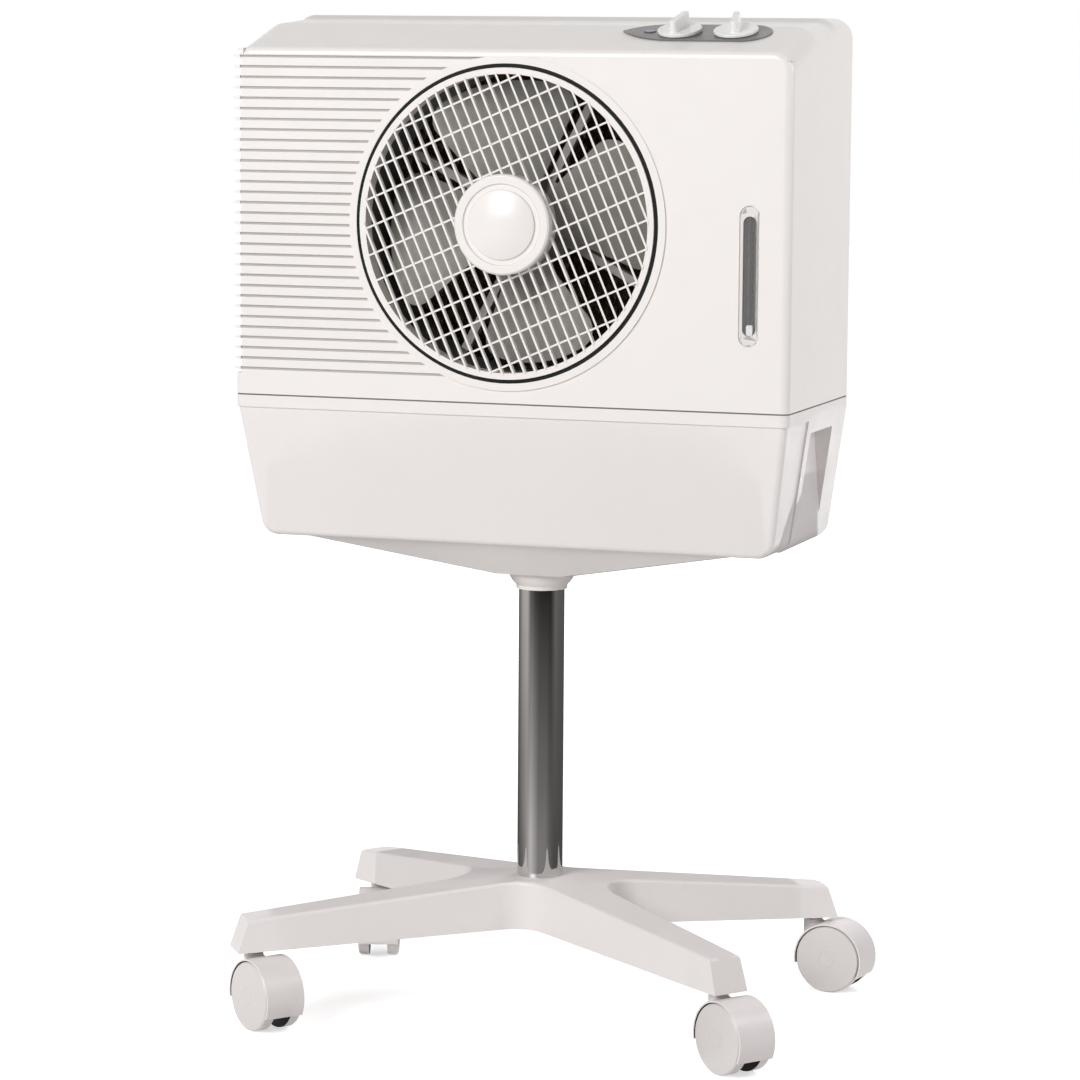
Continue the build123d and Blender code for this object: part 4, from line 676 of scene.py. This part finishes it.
# angle from the camera's side, positive to its right, and the card's grey there
high_card = (
    (-170, 0.06), (-133, 0.22), (-100, 0.55), (-72, 0.58), (-56, 0.12), (-30, 0.03), (10, 0.016),
    (46, 0.02), (60, 0.1), (72, 0.19), (100, 0.15), (140, 0.12), (170, 0.05),
)
low_card = (
    (-170, 0.05), (-133, 0.1), (-97, 0.18), (-71, 0.34), (-49, 0.7), (-29, 0.5), (-10, 0.28),
    (25, 0.28), (49, 0.16), (71, 0.1), (100, 0.1), (140, 0.09), (170, 0.05),
)


def grey_ramp(tree, around, stops):
    """A ramp of greys round the card, from a gradient that goes once round it."""
    ramp = tree.nodes.new("ShaderNodeValToRGB")
    elements = ramp.color_ramp.elements
    while len(elements) < len(stops):
        elements.new(0.5)
    for element, (angle, grey) in zip(elements, stops):
        element.position = angle / 360 + 0.5
        element.color = (grey, 0.975 * grey, 0.955 * grey, 1)
    tree.links.new(around, ramp.inputs["Fac"])
    return ramp.outputs["Color"]


def mirrored_card():
    """A card round the object in the greys of a studio, which only its polished metal shows."""
    deselect_all()
    bpy.ops.mesh.primitive_cylinder_add(
        vertices=96, radius=card_radius, depth=card_height, end_fill_type="NOTHING",
        location=(0, 0, card_height / 2),
    )
    card = bpy.context.active_object
    card.name = "dark_surround"
    look = bpy.data.materials.new("dark_card")
    look.use_nodes = True
    tree = look.node_tree
    tree.nodes.remove(tree.nodes["Principled BSDF"])
    where = tree.nodes.new("ShaderNodeTexCoord")
    turned = tree.nodes.new("ShaderNodeMapping")
    turned.inputs["Rotation"].default_value = (0, 0, pi / 2 - camera_azimuth)
    around = tree.nodes.new("ShaderNodeTexGradient")
    around.gradient_type = "RADIAL"
    tree.links.new(where.outputs["Object"], turned.inputs["Vector"])
    tree.links.new(turned.outputs["Vector"], around.inputs["Vector"])
    low_greys = grey_ramp(tree, around.outputs["Fac"], low_card)
    high_greys = grey_ramp(tree, around.outputs["Fac"], high_card)
    parts = tree.nodes.new("ShaderNodeSeparateXYZ")
    tree.links.new(where.outputs["Object"], parts.inputs["Vector"])
    fade_low, fade_high = (height - card_height / 2 for height in card_fade)
    rise = ranged(tree, parts.outputs["Z"], 0, 1, fade_low, fade_high)
    shine = tree.nodes.new("ShaderNodeEmission")
    tree.links.new(mixed(tree, rise, low_greys, high_greys), shine.inputs["Color"])
    tree.links.new(shine.outputs["Emission"], tree.nodes["Material Output"].inputs["Surface"])
    card.data.materials.append(look)
    card.visible_camera = False
    card.visible_diffuse = False
    card.visible_transmission = False
    card.visible_shadow = False


mirrored_card()

# ---------------------------------------------------------------- camera
camera_elevation = radians(7.37)
camera_roll = radians(0.41)
camera_distance = 4.375
camera_aim = Vector((-0.0025, 0, 0.5181))
focal_share = 3.7098          # focal length as a share of the sensor's width
sensor_width = 36
level_reach = cos(camera_elevation)
backward = Vector((
    sin(camera_azimuth) * level_reach, -cos(camera_azimuth) * level_reach, sin(camera_elevation)
))
deselect_all()
bpy.ops.object.camera_add(location=camera_aim + backward * camera_distance)
camera = bpy.context.active_object
facing = backward.to_track_quat("Z", "Y").to_matrix()
camera.rotation_euler = (facing @ Matrix.Rotation(camera_roll, 3, "Z")).to_euler()
camera.data.sensor_width = sensor_width
camera.data.lens = sensor_width * focal_share
camera.data.clip_end = 100
bpy.context.scene.camera = camera
bpy.context.scene.view_settings.view_transform = "Standard"
